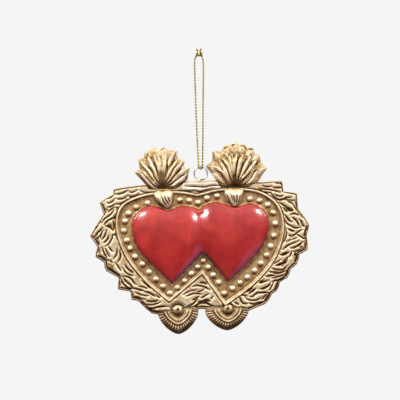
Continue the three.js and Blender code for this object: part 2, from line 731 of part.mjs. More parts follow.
// Cord: one loop from the knot, down, under the ring's upper wire and back, slung slantwise across it.
const bight = ringRadius - ringCentreBelowHook - ringWire / 2 - cordDiameter / 2 - gap
const cordPoints = [
  [-1.15, 0, 1.0], [-1.75, 0, 0.2], [-2.04, 0, -2.0], [-1.8, -0.1, -20.2], [-1.35, -0.5, -40.0],
  [-1.0, -1.05, -49.4], [-0.92, -1.15, bight + 1.4], [-0.55, -0.8, bight + 0.35], [0.0, 0, bight],
  [0.55, 0.8, bight + 0.35], [0.92, 1.15, bight + 1.4], [1.0, 1.05, -49.4],
  [1.3, 0.5, -40.0], [1.75, 0.1, -20.2], [2.04, 0, -2.0], [1.75, 0, 0.2], [1.15, 0, 1.0],
]

function cord() {
  const section = new THREE.Shape()
  for (let k = 0; k < cordSides; k++) {
    const turn = (2 * Math.PI * k) / cordSides
    const x = (Math.cos(turn) * cordDiameter) / 2
    const y = (Math.sin(turn) * cordDiameter) / 2
    if (k === 0) section.moveTo(x, y)
    else section.lineTo(x, y)
  }
  const through = cordPoints.map((p) => new THREE.Vector3(...p))
  const extrudePath = new THREE.CatmullRomCurve3(through, false, 'centripetal')
  return new THREE.ExtrudeGeometry(section, { steps: cordSteps, bevelEnabled: false, extrudePath })
}

// Knot: a round overhand knot above the hook with its two short tails.
function knot() {
  const profile = []
  for (let i = 0; i <= 8; i++) {
    const turn = -Math.PI / 2 + (Math.PI * i) / 8
    const out = Math.max(0, Math.cos(turn)) * knotRadius
    profile.push(new THREE.Vector2(out, (Math.sin(turn) * knotHeight) / 2))
  }
  const ball = toSolid(new THREE.LatheGeometry(profile, 16).rotateX(Math.PI / 2))
  const tails = [-1, 1].map((side) => {
    const tail = new THREE.CylinderGeometry(cordDiameter / 2, cordDiameter / 2, tailLength, 8)
    tail.translate(0, tailLength / 2, 0).rotateX(Math.PI / 2).rotateY(side * 0.35)
    return toSolid(tail.translate(side * 0.55, 0, 0.3))
  })
  return toGeometry(joined([ball, ...tails])).translate(0, 0, knotLift)
}

// Assembly.
const group = new THREE.Group()
const ornament = new THREE.Group()
const face = new THREE.Group()
const wireDropAtEye = Math.sqrt(ringRadius ** 2 - eyeOffset ** 2)
ornament.position.set(eyeOffset, 0, eyeSag - ringCentreBelowHook - wireDropAtEye)
ornament.rotation.y = -hangTilt
face.rotation.x = Math.PI / 2
face.position.set(-eyeOnFace[0], eyePlaneDepth, -eyeOnFace[1])
ornament.add(face)
group.add(ornament)

function addMesh(parent, name, geometry, finish) {
  geometry.computeVertexNormals()
  const mesh = new THREE.Mesh(geometry, new THREE.MeshStandardMaterial(finish))
  mesh.name = name
  parent.add(mesh)
  return mesh
}

addMesh(face, 'backing_plate', toGeometry(backingPlate), patina)
addMesh(face, 'band_top', toGeometry(borderLength(between(0, 0, borderTop), bandRidges())), gilt)
addMesh(face, 'leaves_under_apex', toGeometry(borderLength(between(1, -beyond, 0), apexStrokes())), gilt)
addMesh(face, 'beaded_field', toGeometry(beadedField), patina)
addMesh(face, 'heart_moulding', toGeometry(heartMoulding), giltBright)
Object.entries(halves).forEach(([side, half], index) => {
  const [back, front] = flamePair(half, index)
  addMesh(face, `leaf_border_${side}`, toGeometry(borderLength(sideRegion(half), leafStrokes(half))), gilt)
  addMesh(face, `enamel_heart_${side}`, toGeometry(enamelHeart(half, enamelOutlines[index])), enamel)
  addMesh(face, `flame_back_${side}`, toGeometry(back), gilt)
  addMesh(face, `flame_front_${side}`, toGeometry(front), giltBright)
  addMesh(face, `small_heart_${side}`, toGeometry(smallHeart(half, smallHeartOutlines[index])), giltBright)
  addMesh(face, `shell_drop_${side}`, toGeometry(shellDrop(half, shellOutlines[index])), gilt)
  addMesh(face, `boss_${side}`, toGeometry(boss(half)), giltBright)
})
addMesh(face, 'hanging_eye', toGeometry(hangingEye()), gilt)
addMesh(group, 'jump_ring', jumpRing(), steel).position.z = -ringCentreBelowHook
addMesh(group, 'hanging_cord', cord(), lurex)
addMesh(group, 'cord_knot', knot(), lurex)

export default group
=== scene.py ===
# Milagro heart ornament: cast resin with an antiqued gilt lacquer, twin red enamel hearts, a split ring and a
# gold lurex cord. The pieces are drawn flat in the face's own millimetres, right, up and out of the flat back,
# and then stood up in metres where the frame holds them.
import math

import bpy
import numpy as np
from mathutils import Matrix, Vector
from mathutils.geometry import delaunay_2d_cdt


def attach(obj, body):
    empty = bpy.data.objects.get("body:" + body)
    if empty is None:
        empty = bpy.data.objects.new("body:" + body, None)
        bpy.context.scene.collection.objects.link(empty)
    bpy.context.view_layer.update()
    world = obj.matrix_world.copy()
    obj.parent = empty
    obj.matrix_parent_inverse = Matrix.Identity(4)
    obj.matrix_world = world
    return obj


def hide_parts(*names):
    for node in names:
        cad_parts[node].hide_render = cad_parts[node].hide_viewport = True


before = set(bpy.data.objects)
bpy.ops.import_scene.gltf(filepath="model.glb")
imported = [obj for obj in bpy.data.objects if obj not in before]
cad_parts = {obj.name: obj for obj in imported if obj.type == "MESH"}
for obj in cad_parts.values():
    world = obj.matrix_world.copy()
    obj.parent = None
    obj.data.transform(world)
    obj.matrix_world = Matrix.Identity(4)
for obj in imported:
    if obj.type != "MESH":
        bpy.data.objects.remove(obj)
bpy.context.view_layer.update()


# --- Backing plate -------------------------------------------------------------------------------------------
# A flat cast resin sheet that everything sits on. It shows from the front only as a rounded lip round the leaf
# tips and the shells, and from behind as a plain flat back under a thin coat of gilt lacquer.

EYE_ON_FACE = (-0.14, 26.7)
EYE_IN_FRAME = (-1.0, -58.247)
EYE_DEPTH = 2.5
HANG_TILT = math.radians(0.6)

PLATE = 1.6
FIELD_TOP = 2.8
LIP_TOP = 26.1
UNDERSIDE = 0.42


def stand_up(points):
    """Face millimetres, right, up and out of the back, as metres in the object's frame."""
    points = np.asarray(points, float)
    right = points[:, 0] - EYE_ON_FACE[0]
    up = points[:, 1] - EYE_ON_FACE[1]
    x = EYE_IN_FRAME[0] + right * math.cos(HANG_TILT) - up * math.sin(HANG_TILT)
    z = EYE_IN_FRAME[1] + right * math.sin(HANG_TILT) + up * math.cos(HANG_TILT)
    return np.column_stack((x, EYE_DEPTH - points[:, 2], z)) / 1000


def smooth(points, count, closing=False):
    """A smooth line through a few points, in equal steps. closing keeps its last point."""
    p = np.array(points, float)
    p = np.vstack((2 * p[0] - p[1], p, 2 * p[-1] - p[-2]))
    dense = []
    t = np.linspace(0, 1, 40, endpoint=False)[:, None]
    for a, b, c, d in zip(p, p[1:], p[2:], p[3:]):
        before, here, after = (np.linalg.norm(q - r) ** 0.5 for q, r in ((b, a), (c, b), (d, c)))
        m1 = ((b - a) / before - (c - a) / (before + here) + (c - b) / here) * here
        m2 = ((c - b) / here - (d - b) / (here + after) + (d - c) / after) * here
        dense.append(b + m1 * t + (3 * (c - b) - 2 * m1 - m2) * t**2 + (2 * (b - c) + m1 + m2) * t**3)
    dense = np.vstack(dense + [p[-2:-1]])
    run = np.r_[0, np.cumsum(np.linalg.norm(np.diff(dense, axis=0), axis=1))]
    at = np.linspace(0, run[-1], count, endpoint=closing)
    return np.column_stack([np.interp(at, run, dense[:, k]) for k in range(p.shape[1])])


def inset(path, amount):
    """Moves a closed anticlockwise path inwards by a distance, with mitred corners."""
    path = np.asarray(path, float)
    run = path - np.roll(path, 1, 0)
    n1 = np.column_stack((-run[:, 1], run[:, 0])) / np.linalg.norm(run, axis=1)[:, None]
    n2 = np.roll(n1, -1, 0)
    share = amount / np.maximum(0.25, 1 + (n1 * n2).sum(1))
    return path + (n1 + n2) * share[:, None]


def fine(path, step, closed=True):
    """The same corners, with each straight run cut into short equal steps."""
    path = np.asarray(path, float)
    ends = np.roll(path, -1, 0) if closed else path[1:]
    runs = []
    for a, b in zip(path, ends):
        n = max(1, math.ceil(np.linalg.norm(b - a) / step))
        runs.append(a + (b - a) * (np.arange(n) / n)[:, None])
    return np.vstack(runs if closed else runs + [path[-1:]])


def within(points, path):
    """Which points lie inside a closed path."""
    inside = np.zeros(len(points), bool)
    x, y = points[:, 0], points[:, 1]
    for (ax, ay), (bx, by) in zip(path, np.roll(path, -1, 0)):
        if by != ay:
            crosses = (ay > y) != (by > y)
            inside ^= crosses & (x < (bx - ax) * (y - ay) / (by - ay) + ax)
    return inside


def within_any(points, paths):
    """Which points lie inside at least one of several closed paths."""
    return np.any([within(points, path) for path in paths], axis=0)


def away(points, marks):
    """Each point's distance to the nearest of many marks."""
    shares = np.array_split(points, max(1, len(points) * len(marks) // 4_000_000))
    return np.sqrt(np.concatenate([((p[:, None, :] - marks[None]) ** 2).sum(2).min(1) for p in shares]))


def quarter_round(distance, radius):
    """A rounded edge's rise, from 0 at the edge to 1 where the round ends."""
    return np.sqrt(1 - (1 - np.clip(distance / max(radius, 1e-6), 0, 1)) ** 2)


def mesh_object(name, points, faces, tone_and_painted_light, rounded=None):
    """A mesh that stands in the frame. Its tone is painted on its points, from 0 on bright crests to 1 in the
    hollows, and holds painted highlight and shade as well as the glaze. rounded says which faces are shaded smooth:
    all of them, if it isn't given."""
    mesh = bpy.data.meshes.new(name)
    mesh.from_pydata(np.asarray(points, float).tolist(), [], faces)
    mesh.polygons.foreach_set("use_smooth", rounded or [True] * len(faces))
    # The tone attribute holds the glaze and, on some pieces, painted highlight and shade.
    mesh.attributes.new("tone_and_painted_light", "FLOAT", "POINT").data.foreach_set("value", np.asarray(tone_and_painted_light, np.float32))
    mesh.update()
    thing = bpy.data.objects.new(name, mesh)
    bpy.context.scene.collection.objects.link(thing)
    return thing


def relief(name, keep, back, surface, drop=(), step=0.25, round_off=0.5):
    """A cast piece: a fine skin over the joined outlines in keep, less those in drop, with soft edges and upright
    sides down to its seat. surface gives each point's height and patina from its place and distance to the edge."""
    loops = [fine(path, step) for path in (*keep, *drop)]

    def inside(points):
        return within_any(points, keep) & ~within_any(points, drop)

    def triangulate(points, edges):
        found = delaunay_2d_cdt([Vector(p) for p in points], edges, [], 0, 1e-6)
        flat = np.array([tuple(p) for p in found[0]])
        triangles = np.array([f for f in found[2] if len(f) == 3])
        a, b, c = (flat[triangles[:, k]] for k in range(3))
        turn = (b - a)[:, 0] * (c - a)[:, 1] - (b - a)[:, 1] * (c - a)[:, 0]
        good = inside((a + b + c) / 3) & (np.abs(turn) > 1e-7)
        triangles[turn < 0] = triangles[turn < 0][:, ::-1]
        return flat, triangles[good]

    low, high = np.vstack(loops).min(0), np.vstack(loops).max(0)
    rows = np.arange(low[1], high[1], step * 0.866)
    columns = np.arange(low[0], high[0], step)
    grid = np.array([(x + (i % 2) * step / 2, y) for i, y in enumerate(rows) for x in columns])
    grid = grid[inside(grid)]
    grid = grid[away(grid, np.vstack(loops)) > step * 0.6]
    edges = []
    for path in loops:
        first = edges[-1][0] + 1 if edges else 0
        edges += [(first + i, first + (i + 1) % len(path)) for i in range(len(path))]
    flat, triangles = triangulate(np.vstack(loops + [grid]), edges)
    kept, triangles = np.unique(triangles, return_inverse=True)
    flat, triangles = flat[kept], triangles.reshape(-1, 3)
    sides = {(a, b) for t in triangles.tolist() for a, b in ((t[0], t[1]), (t[1], t[2]), (t[2], t[0]))}
    rim = [(a, b) for a, b in sides if (b, a) not in sides]
    used = sorted({a for a, _ in rim})
    order = {a: i for i, a in enumerate(used)}
    edge = away(flat, flat[used])
    height, tone_and_painted_light = surface(flat, edge)
    height = np.maximum(height - round_off * (1 - quarter_round(edge, round_off)), back + 0.02)
    skirt = {a: len(flat) + i for a, i in order.items()}
    under, floor = triangulate(flat[used], [(order[a], order[b]) for a, b in rim])
    assert len(under) == len(used), name
    faces = triangles.tolist() + [[b, a, skirt[a], skirt[b]] for a, b in rim]
    faces += (floor[:, ::-1] + len(flat)).tolist()
    rounded = [True] * len(triangles) + [False] * (len(rim) + len(floor))
    points = np.vstack((np.column_stack((flat, height)), np.column_stack((under, np.full(len(under), back)))))
    return mesh_object(name, stand_up(points), faces, np.r_[tone_and_painted_light, np.full(len(under), UNDERSIDE)], rounded)


HALVES = {
    "left": {
        "sign": -1,
        "line": [(11.8, 20.7), (28.7, 19.0), (37.6, 14.2), (39.9, 5.0), (36.1, -8.2), (27.0, -20.8), (15.8, -31.0)],
        "leaves": [
            (41.3, 23.2), (41.4, 20.8), (48.2, 16.9), (46.4, 11.3), (53.2, 0.9), (49.7, -4.5), (50.8, -9.2),
            (46.8, -12.0), (45.9, -16.1), (39.8, -19.6), (40.4, -25.1), (34.2, -26.5), (34.0, -30.3),
            (30.9, -30.9), (24.4, -37.1), (21.0, -37.8),
        ],
        "shoulder": (30.0, 24.6),
    },
    "right": {
        "sign": 1,
        "line": [(10.8, 21.3), (28.0, 19.9), (37.0, 13.5), (39.6, 3.0), (35.6, -11.0), (25.4, -23.2), (11.0, -33.5)],
        "leaves": [
            (39.9, 25.1), (40.5, 20.1), (46.9, 18.9), (47.2, 11.7), (52.5, 3.4), (51.0, -1.6), (51.3, -8.5),
            (47.4, -10.6), (45.8, -15.4), (42.9, -17.7), (41.1, -21.7), (37.7, -23.6), (35.9, -27.8),
            (33.7, -29.2), (30.4, -33.9), (21.8, -37.2),
        ],
        "shoulder": (30.1, 24.7),
    },
}
TOP_CLEFT = (-0.9, 19.0)
APEX = (0.4, -17.9)


def placed(side, points):
    """Points written outwards from the centre line, put on their own side."""
    return [(HALVES[side]["sign"] * x, y) for x, y in points]


def leaf_edge(side):
    """The outline of one side's leaves: each bulges a little before its tip, then steps back to its notch."""
    last = HALVES[side]["shoulder"]
    points = [last]
    leaves = HALVES[side]["leaves"]
    for tip, notch in zip(leaves[::2], leaves[1::2]):
        bulge = [(a + (b - a) * 0.55) * 1.006 for a, b in zip(last, tip)]
        points += [bulge, tip, notch]
        last = notch
    return placed(side, points)


lip = [(8.0, LIP_TOP), (-8.0, LIP_TOP), *leaf_edge("left"), (-0.8, -35.6), *leaf_edge("right")[::-1]]
line_left = smooth([TOP_CLEFT, *placed("left", HALVES["left"]["line"])], 60)
line_right = smooth([TOP_CLEFT, *placed("right", HALVES["right"]["line"])][::-1], 60)
slope_left = smooth([(-15.8, -31.0), APEX], 12)
slope_right = smooth([APEX, (11.0, -33.5)], 12)
heart_line = np.vstack((line_left, slope_left, slope_right, line_right))


def scallop_edge(centre, half_width, fall, rise, count=96):
    """A scallop's outline, drawn anticlockwise: a low round head, and a body that narrows to a blunt point."""
    turn = np.linspace(0, 2 * np.pi, count, endpoint=False)
    across, up = np.cos(turn), np.sin(turn)
    power = np.where(up < 0, 2 / SHELL_TAPER, 1.0)
    x = np.sign(across) * np.abs(across) ** power
    y = np.sign(up) * np.abs(up) ** power * np.where(up < 0, fall, rise)
    return np.column_stack((centre[0] + half_width * x, centre[1] + y))


def fan_edge(foot, half_width, tips, notches):
    """The outline of a fan of petals from its foot, anticlockwise."""
    path = [(foot[0] + half_width, foot[1])]
    for tip, notch in zip(tips, notches):
        path += [tip, notch]
    return np.array(path + [tips[-1], (foot[0] - half_width, foot[1])], float)


SHELL_TAPER = 1.55
SHELLS = {"left": ((-11.8, -37.0), 9.8, 10.4, 5.4), "right": ((11.7, -37.0), 10.5, 9.2, 5.0)}
FLAME_TIPS = {
    "left": [(-5.4, 26.8), (-4.2, 32.4), (-6.6, 36.1), (-10.4, 41.2), (-16.4, 42.6), (-20.3, 43.0), (-25.4, 41.3),
             (-29.0, 37.3), (-31.0, 30.9)],
    "right": [(28.8, 25.4), (32.9, 31.2), (29.3, 37.7), (26.2, 41.3), (21.7, 44.0), (17.3, 44.7), (12.2, 43.0),
              (6.8, 40.4), (3.3, 33.0)],
}
FLAME_NOTCHES = {
    "left": [(-5.3, 29.0), (-7.4, 32.9), (-10.0, 37.0), (-13.8, 41.0), (-18.7, 41.4), (-23.6, 41.2), (-26.3, 37.7),
             (-28.3, 32.4)],
    "right": [(30.3, 28.0), (29.9, 34.0), (26.9, 38.6), (23.7, 41.2), (19.5, 42.6), (14.9, 42.7), (11.2, 39.9),
              (6.4, 35.2)],
}
FLAME_FOOT_HALF = 6.4
FLAME_FOOT = {"left": (-17.5, 22.7), "right": (17.1, 22.7)}
flame_outline = {s: fan_edge(FLAME_FOOT[s], FLAME_FOOT_HALF, FLAME_TIPS[s], FLAME_NOTCHES[s]) for s in HALVES}
shell_outline = {s: scallop_edge(*SHELLS[s]) for s in HALVES}


def plate_surface(flat, edge):
    # A painted highlight along the lip's edge, and painted shade over the rest, under the leaf border.
    return np.full(len(flat), PLATE), np.where(edge < 0.8, 0.12, 0.75)


plate = relief(
    "cast_backing_plate",
    [np.array(lip), *shell_outline.values(), *(inset(p, 1.0) for p in flame_outline.values())],
    0.0, plate_surface, step=0.5, round_off=0.8,
)


def linear(hex_colour):
    """An sRGB hex colour as linear RGBA."""
    channels = [int(hex_colour[i : i + 2], 16) / 255 for i in (1, 3, 5)]
    return [c / 12.92 if c <= 0.04045 else ((c + 0.055) / 1.055) ** 2.4 for c in channels] + [1]


def add(tree, kind, sockets=None, **settings):
    """Adds a shader node. settings are its own properties, sockets its inputs: values or other nodes' outputs."""
    made = tree.nodes.new("ShaderNode" + kind)
    for name, value in settings.items():
        setattr(made, name, value)
    for name, value in (sockets or {}).items():
        if isinstance(value, bpy.types.NodeSocket):
            tree.links.new(value, made.inputs[name])
        else:
            made.inputs[name].default_value = value
    return made


def new_finish(name):
    """An empty material, with its tree and the piece's own coordinates in metres."""
    finish = bpy.data.materials.new(name)
    finish.use_nodes = True
    tree = finish.node_tree
    tree.nodes.clear()
    return finish, tree, add(tree, "TexCoord").outputs["Object"]


def principled(finish, tree, sockets):
    """Ends a material with one principled shader."""
    tree.links.new(add(tree, "BsdfPrincipled", sockets).outputs[0], add(tree, "OutputMaterial").inputs[0])
    return finish


def ramp(tree, factor, stops):
    """A colour ramp through (place, hex colour) stops."""
    made = add(tree, "ValToRGB", {"Fac": factor})
    elements = made.color_ramp.elements
    elements[0].position, elements[0].color = stops[0][0], linear(stops[0][1])
    elements[1].position, elements[1].color = stops[-1][0], linear(stops[-1][1])
    for place, colour in stops[1:-1]:
        elements.new(place).color = linear(colour)
    return made.outputs["Color"]


def antiqued_gilt(name, stops, crest_gloss=0.36, hollow_gloss=0.62, wipe=0.12):
    """Gold lacquer on cast resin, wiped over with a dark brown glaze that stays in the hollows. The eye gets bright
    cream crests, warm gold slopes and nearly black cuts, with a fine casting grain. The tone painted on the mesh
    carries this glaze, and on some pieces painted highlight and shade as well."""
    finish, tree, place = new_finish(name)
    mark = add(tree, "Attribute", attribute_name="tone_and_painted_light").outputs["Fac"]
    cloud = add(tree, "TexNoise", {"Vector": place, "Scale": 300.0, "Detail": 5.0, "Roughness": 0.65}).outputs["Fac"]
    shift = add(tree, "MapRange", {"Value": cloud, "From Min": 0.3, "From Max": 0.7, "To Min": -wipe, "To Max": wipe})
    glaze_wipe_and_painted_light = add(tree, "Math", {0: mark, 1: shift.outputs[0]}, operation="ADD", use_clamp=True).outputs[0]
    colour = ramp(tree, glaze_wipe_and_painted_light, stops)
    gloss = add(tree, "MapRange", {"Value": glaze_wipe_and_painted_light, "To Min": crest_gloss, "To Max": hollow_gloss}).outputs[0]
    metal = add(tree, "MapRange", {"Value": glaze_wipe_and_painted_light, "To Min": 0.72, "To Max": 0.35}).outputs[0]
    pits = add(tree, "TexNoise", {"Vector": place, "Scale": 1900.0, "Detail": 3.0}).outputs["Fac"]
    skin = add(tree, "Bump", {"Height": pits, "Strength": 0.25, "Distance": 0.00012})
    return principled(finish, tree, {
        "Base Color": colour, "Metallic": metal, "Roughness": gloss, "Normal": skin.outputs[0],
    })


plate_gilt = antiqued_gilt(
    "antiqued_gilt_plate",
    [(0.0, "#eedfbe"), (0.3, "#c0a273"), (0.6, "#7b5a39"), (0.85, "#402814"), (1.0, "#24160a")],
    0.4, 0.62,
)
plate.data.materials.append(plate_gilt)
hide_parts("backing_plate")
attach(plate, "ornament")


# --- Beaded field --------------------------------------------------------------------------------------------
# The flat ground inside the moulding, cast with its row of round beads and the thin bezel round the enamel. The
# glaze was left thick here, so it is brown gold, with a dark crescent under each bead, partly glaze in the ditch and
# partly painted shadow.

BEAD, BEAD_LIFT, BEAD_SINK, BEAD_ROWS = 1.6, 1.1, 0.15, 9
BEADS = [
    (-9.6, 17.1), (-5.0, 16.7), (-0.9, 15.6), (3.5, 17.7), (8.4, 18.6),
    (-24.9, 16.0), (-30.5, 14.2), (-34.3, 11.3), (-36.1, 7.6), (-36.6, 3.1), (-35.3, -1.6), (-33.8, -5.6),
    (-31.7, -9.5), (-28.1, -13.2), (-25.1, -17.1), (-21.8, -20.6), (-18.6, -24.1), (-15.3, -27.4),
    (-11.7, -24.9), (-8.4, -21.8), (-5.0, -18.4), (-1.9, -15.3), (1.0, -12.4), (3.4, -15.6), (5.7, -19.3),
    (8.2, -22.9), (10.7, -28.2),
    (24.0, 16.8), (28.7, 15.8), (32.6, 13.7), (35.2, 9.9), (36.0, 4.6), (35.1, -1.2), (33.4, -6.2),
    (31.3, -10.4), (28.4, -14.2), (25.3, -17.6), (21.8, -20.8), (18.3, -23.3), (14.7, -26.0),
]
LOBES = {"left": [(3.2, 13.4), (9.0, 14.1), (15.2, 12.3)], "right": [(2.6, 14.3), (8.0, 15.6), (16.7, 12.9)]}
FLANKS = {
    "left": [(24.4, 14.7), (31.8, 9.5), (33.1, 2.8), (30.3, -6.4), (21.4, -16.7), (14.2, -23.5)],
    "right": [(25.2, 14.4), (31.2, 10.4), (33.2, 3.4), (29.9, -6.2), (22.0, -14.8), (12.5, -23.2)],
}
CREASE = (-0.4, 12.0)
ENAMEL_APEX = (1.0, -8.9)


def enamel_edge(side):
    """One enamel heart's outline, anticlockwise."""
    lobe, flank = placed(side, LOBES[side]), placed(side, FLANKS[side])
    top, foot = CREASE, ENAMEL_APEX
    runs = [([top, *lobe], 24), ([lobe[-1], *flank], 68), ([flank[-1], foot], 16), ([foot, top], 16)]
    path = np.vstack([smooth(points, count) for points, count in runs])
    return path if side == "left" else path[::-1]


enamel_outline = {side: enamel_edge(side) for side in HALVES}
enamel_marks = np.vstack([fine(path, 0.3) for path in enamel_outline.values()])


def bump(distance, at, width):
    """A soft bump, 1 at one distance and falling off on both sides."""
    return np.exp(-(((distance - at) / width) ** 2))


def field_surface(flat, edge):
    enamel = away(flat, enamel_marks)
    outside = np.where(within_any(flat, enamel_outline.values()), 0, enamel)
    bezel = bump(outside, 0.3, 0.28)
    tone_and_painted_light = 0.48 + 0.25 * bump(edge, 0, 1.0) + 0.12 * bump(enamel, 0.9, 0.4)
    # Each bead's dark crescent sits below it: glaze in the ditch, and painted shadow cast downwards.
    for u, v in BEADS:
        below = np.hypot(flat[:, 0] - u, (flat[:, 1] - v + 0.75) * 1.05)
        tone_and_painted_light = np.maximum(tone_and_painted_light, 0.8 * np.exp(-((below / 1.85) ** 6)))
    return FIELD_TOP + 0.45 * bezel, np.where(bezel > 0.5, 0.42, tone_and_painted_light)


def bands(rings, around, looped=False):
    """The quads between each ring of points and the next, and from the last to the first in a looped skin."""
    pairs = [(ring * around, (ring + 1) % rings * around) for ring in range(rings if looped else rings - 1)]
    return [[a + k, a + (k + 1) % around, b + (k + 1) % around, b + k] for a, b in pairs for k in range(around)]


def dome(centre, rings, around, shade, lean=0.0):
    """A turned dome over a place on the face: its points, faces and tone. rings are how far out and up its pole and
    its rings lie, lean is how far its pole is pushed up the face, and shade gives a ring's tone across and up, with
    its painted highlight and shade."""
    (u, v), wide = centre, rings[-1][0]
    points, tone_and_painted_light = [(u, v + lean, rings[0][1])], [shade(0, 0.0, 0.0)]
    for ring, (out, up) in enumerate(rings[1:], 1):
        for turn in 2 * math.pi * np.arange(around) / around:
            x, y = out * math.cos(turn), out * math.sin(turn)
            points.append((u + x, v + lean * (1 - out / wide) + y, up))
            tone_and_painted_light.append(shade(ring, x, y))
    faces = [[0, 1 + k, 1 + (k + 1) % around] for k in range(around)]
    faces += [[1 + a, 1 + d, 1 + c, 1 + b] for a, b, c, d in bands(len(rings) - 1, around)]
    faces.append([len(points) - 1 - k for k in range(around)])
    return points, faces, tone_and_painted_light


def bead_shade(ring, x, y):
    """A painted highlight high on its top, and painted shade on its lower side."""
    # Painted highlight set high on the bead, and painted shade on its lower side.
    crown = math.exp(-(((y / BEAD - 0.3) / 0.55) ** 2) - (x / BEAD) ** 2)
    return 0.4 - 0.27 * crown + 0.42 * min(1, max(0, -y / BEAD * 1.3 - 0.2))


def gathered(skins):
    """Several skins of points, faces and patina as one."""
    points, faces, tone_and_painted_light = [], [], []
    for more, sides, shades in skins:
        faces += [[len(points) + i for i in face] for face in sides]
        points += list(more)
        tone_and_painted_light += list(shades)
    return points, faces, tone_and_painted_light


field = relief("beaded_ground", [inset(heart_line, 0.7)], PLATE, field_surface, step=0.3, round_off=0.1)
lifts = [math.pi / 2 * (1 - i / BEAD_ROWS) for i in range(BEAD_ROWS)]
bead_rings = [(BEAD * math.cos(lift), FIELD_TOP - BEAD_SINK + BEAD_LIFT * math.sin(lift)) for lift in lifts]
points, faces, tone_and_painted_light = gathered(dome(place, bead_rings, 24, bead_shade) for place in BEADS)
beads = mesh_object("beads", stand_up(points), faces, tone_and_painted_light)
with bpy.context.temp_override(active_object=field, selected_editable_objects=[field, beads]):
    bpy.ops.object.join()
field.data.materials.append(antiqued_gilt(
    "antiqued_gilt_ground",
    [(0.0, "#fbf1da"), (0.18, "#e7d6b4"), (0.4, "#b5925f"), (0.62, "#845f38"), (0.82, "#4e3115"), (1.0, "#2a1807")],
    0.32, 0.6, 0.2,
))
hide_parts("beaded_field")
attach(field, "ornament")


# --- Heart moulding ------------------------------------------------------------------------------------------
# The raised double fillet round the field, seated over the joint to the border and burnished bright along its
# crest. Dark glaze lines it on both sides, and painted shade darkens whichever slope faces down.

# Each line of the moulding's profile: how far in from the heart line, how far over the plate, and its patina.
MOULDING = [
    (-1.15, 0.0, 0.9), (-1.12, 1.35, 0.85), (-0.98, 1.38, 0.85), (-0.87, 1.55, 0.72), (-0.74, 1.92, 0.5),
    (-0.5, 2.18, 0.4), (-0.25, 2.28, 0.27), (0.0, 2.25, 0.27), (0.22, 2.08, 0.38), (0.4, 1.76, 0.46),
    (0.56, 1.42, 0.5), (0.74, 1.25, 0.52), (0.95, 1.18, 0.48), (1.08, 1.12, 0.5), (1.15, 0.0, 0.6),
]
loops = [np.column_stack((inset(heart_line, out), np.full(len(heart_line), PLATE + up))) for out, up, _ in MOULDING]
facing_up = inset(heart_line, -1)[:, 1] - heart_line[:, 1]
# Painted shade on the slope that faces down, and a little painted light on the slope that faces up.
tone_and_painted_light = [
    glaze + 0.34 * np.clip(facing_up * np.sign(out), -0.4, 1) * (0.3 < abs(out) < 1) for out, _, glaze in MOULDING
]
faces = bands(len(loops), len(heart_line), looped=True)
rounded = [True] * (len(faces) - len(heart_line)) + [False] * len(heart_line)
moulding = mesh_object("heart_moulding_fillet", stand_up(np.vstack(loops)), faces, np.concatenate(tone_and_painted_light), rounded)
bright_gilt = antiqued_gilt(
    "burnished_gilt",
    [(0.0, "#fbf2e0"), (0.2, "#e7d8b6"), (0.45, "#b29164"), (0.7, "#6f4e2a"), (0.88, "#3a2610"), (1.0, "#241507")],
    0.32, 0.6,
)
moulding.data.materials.append(bright_gilt)
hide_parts("heart_moulding")
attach(moulding, "ornament")
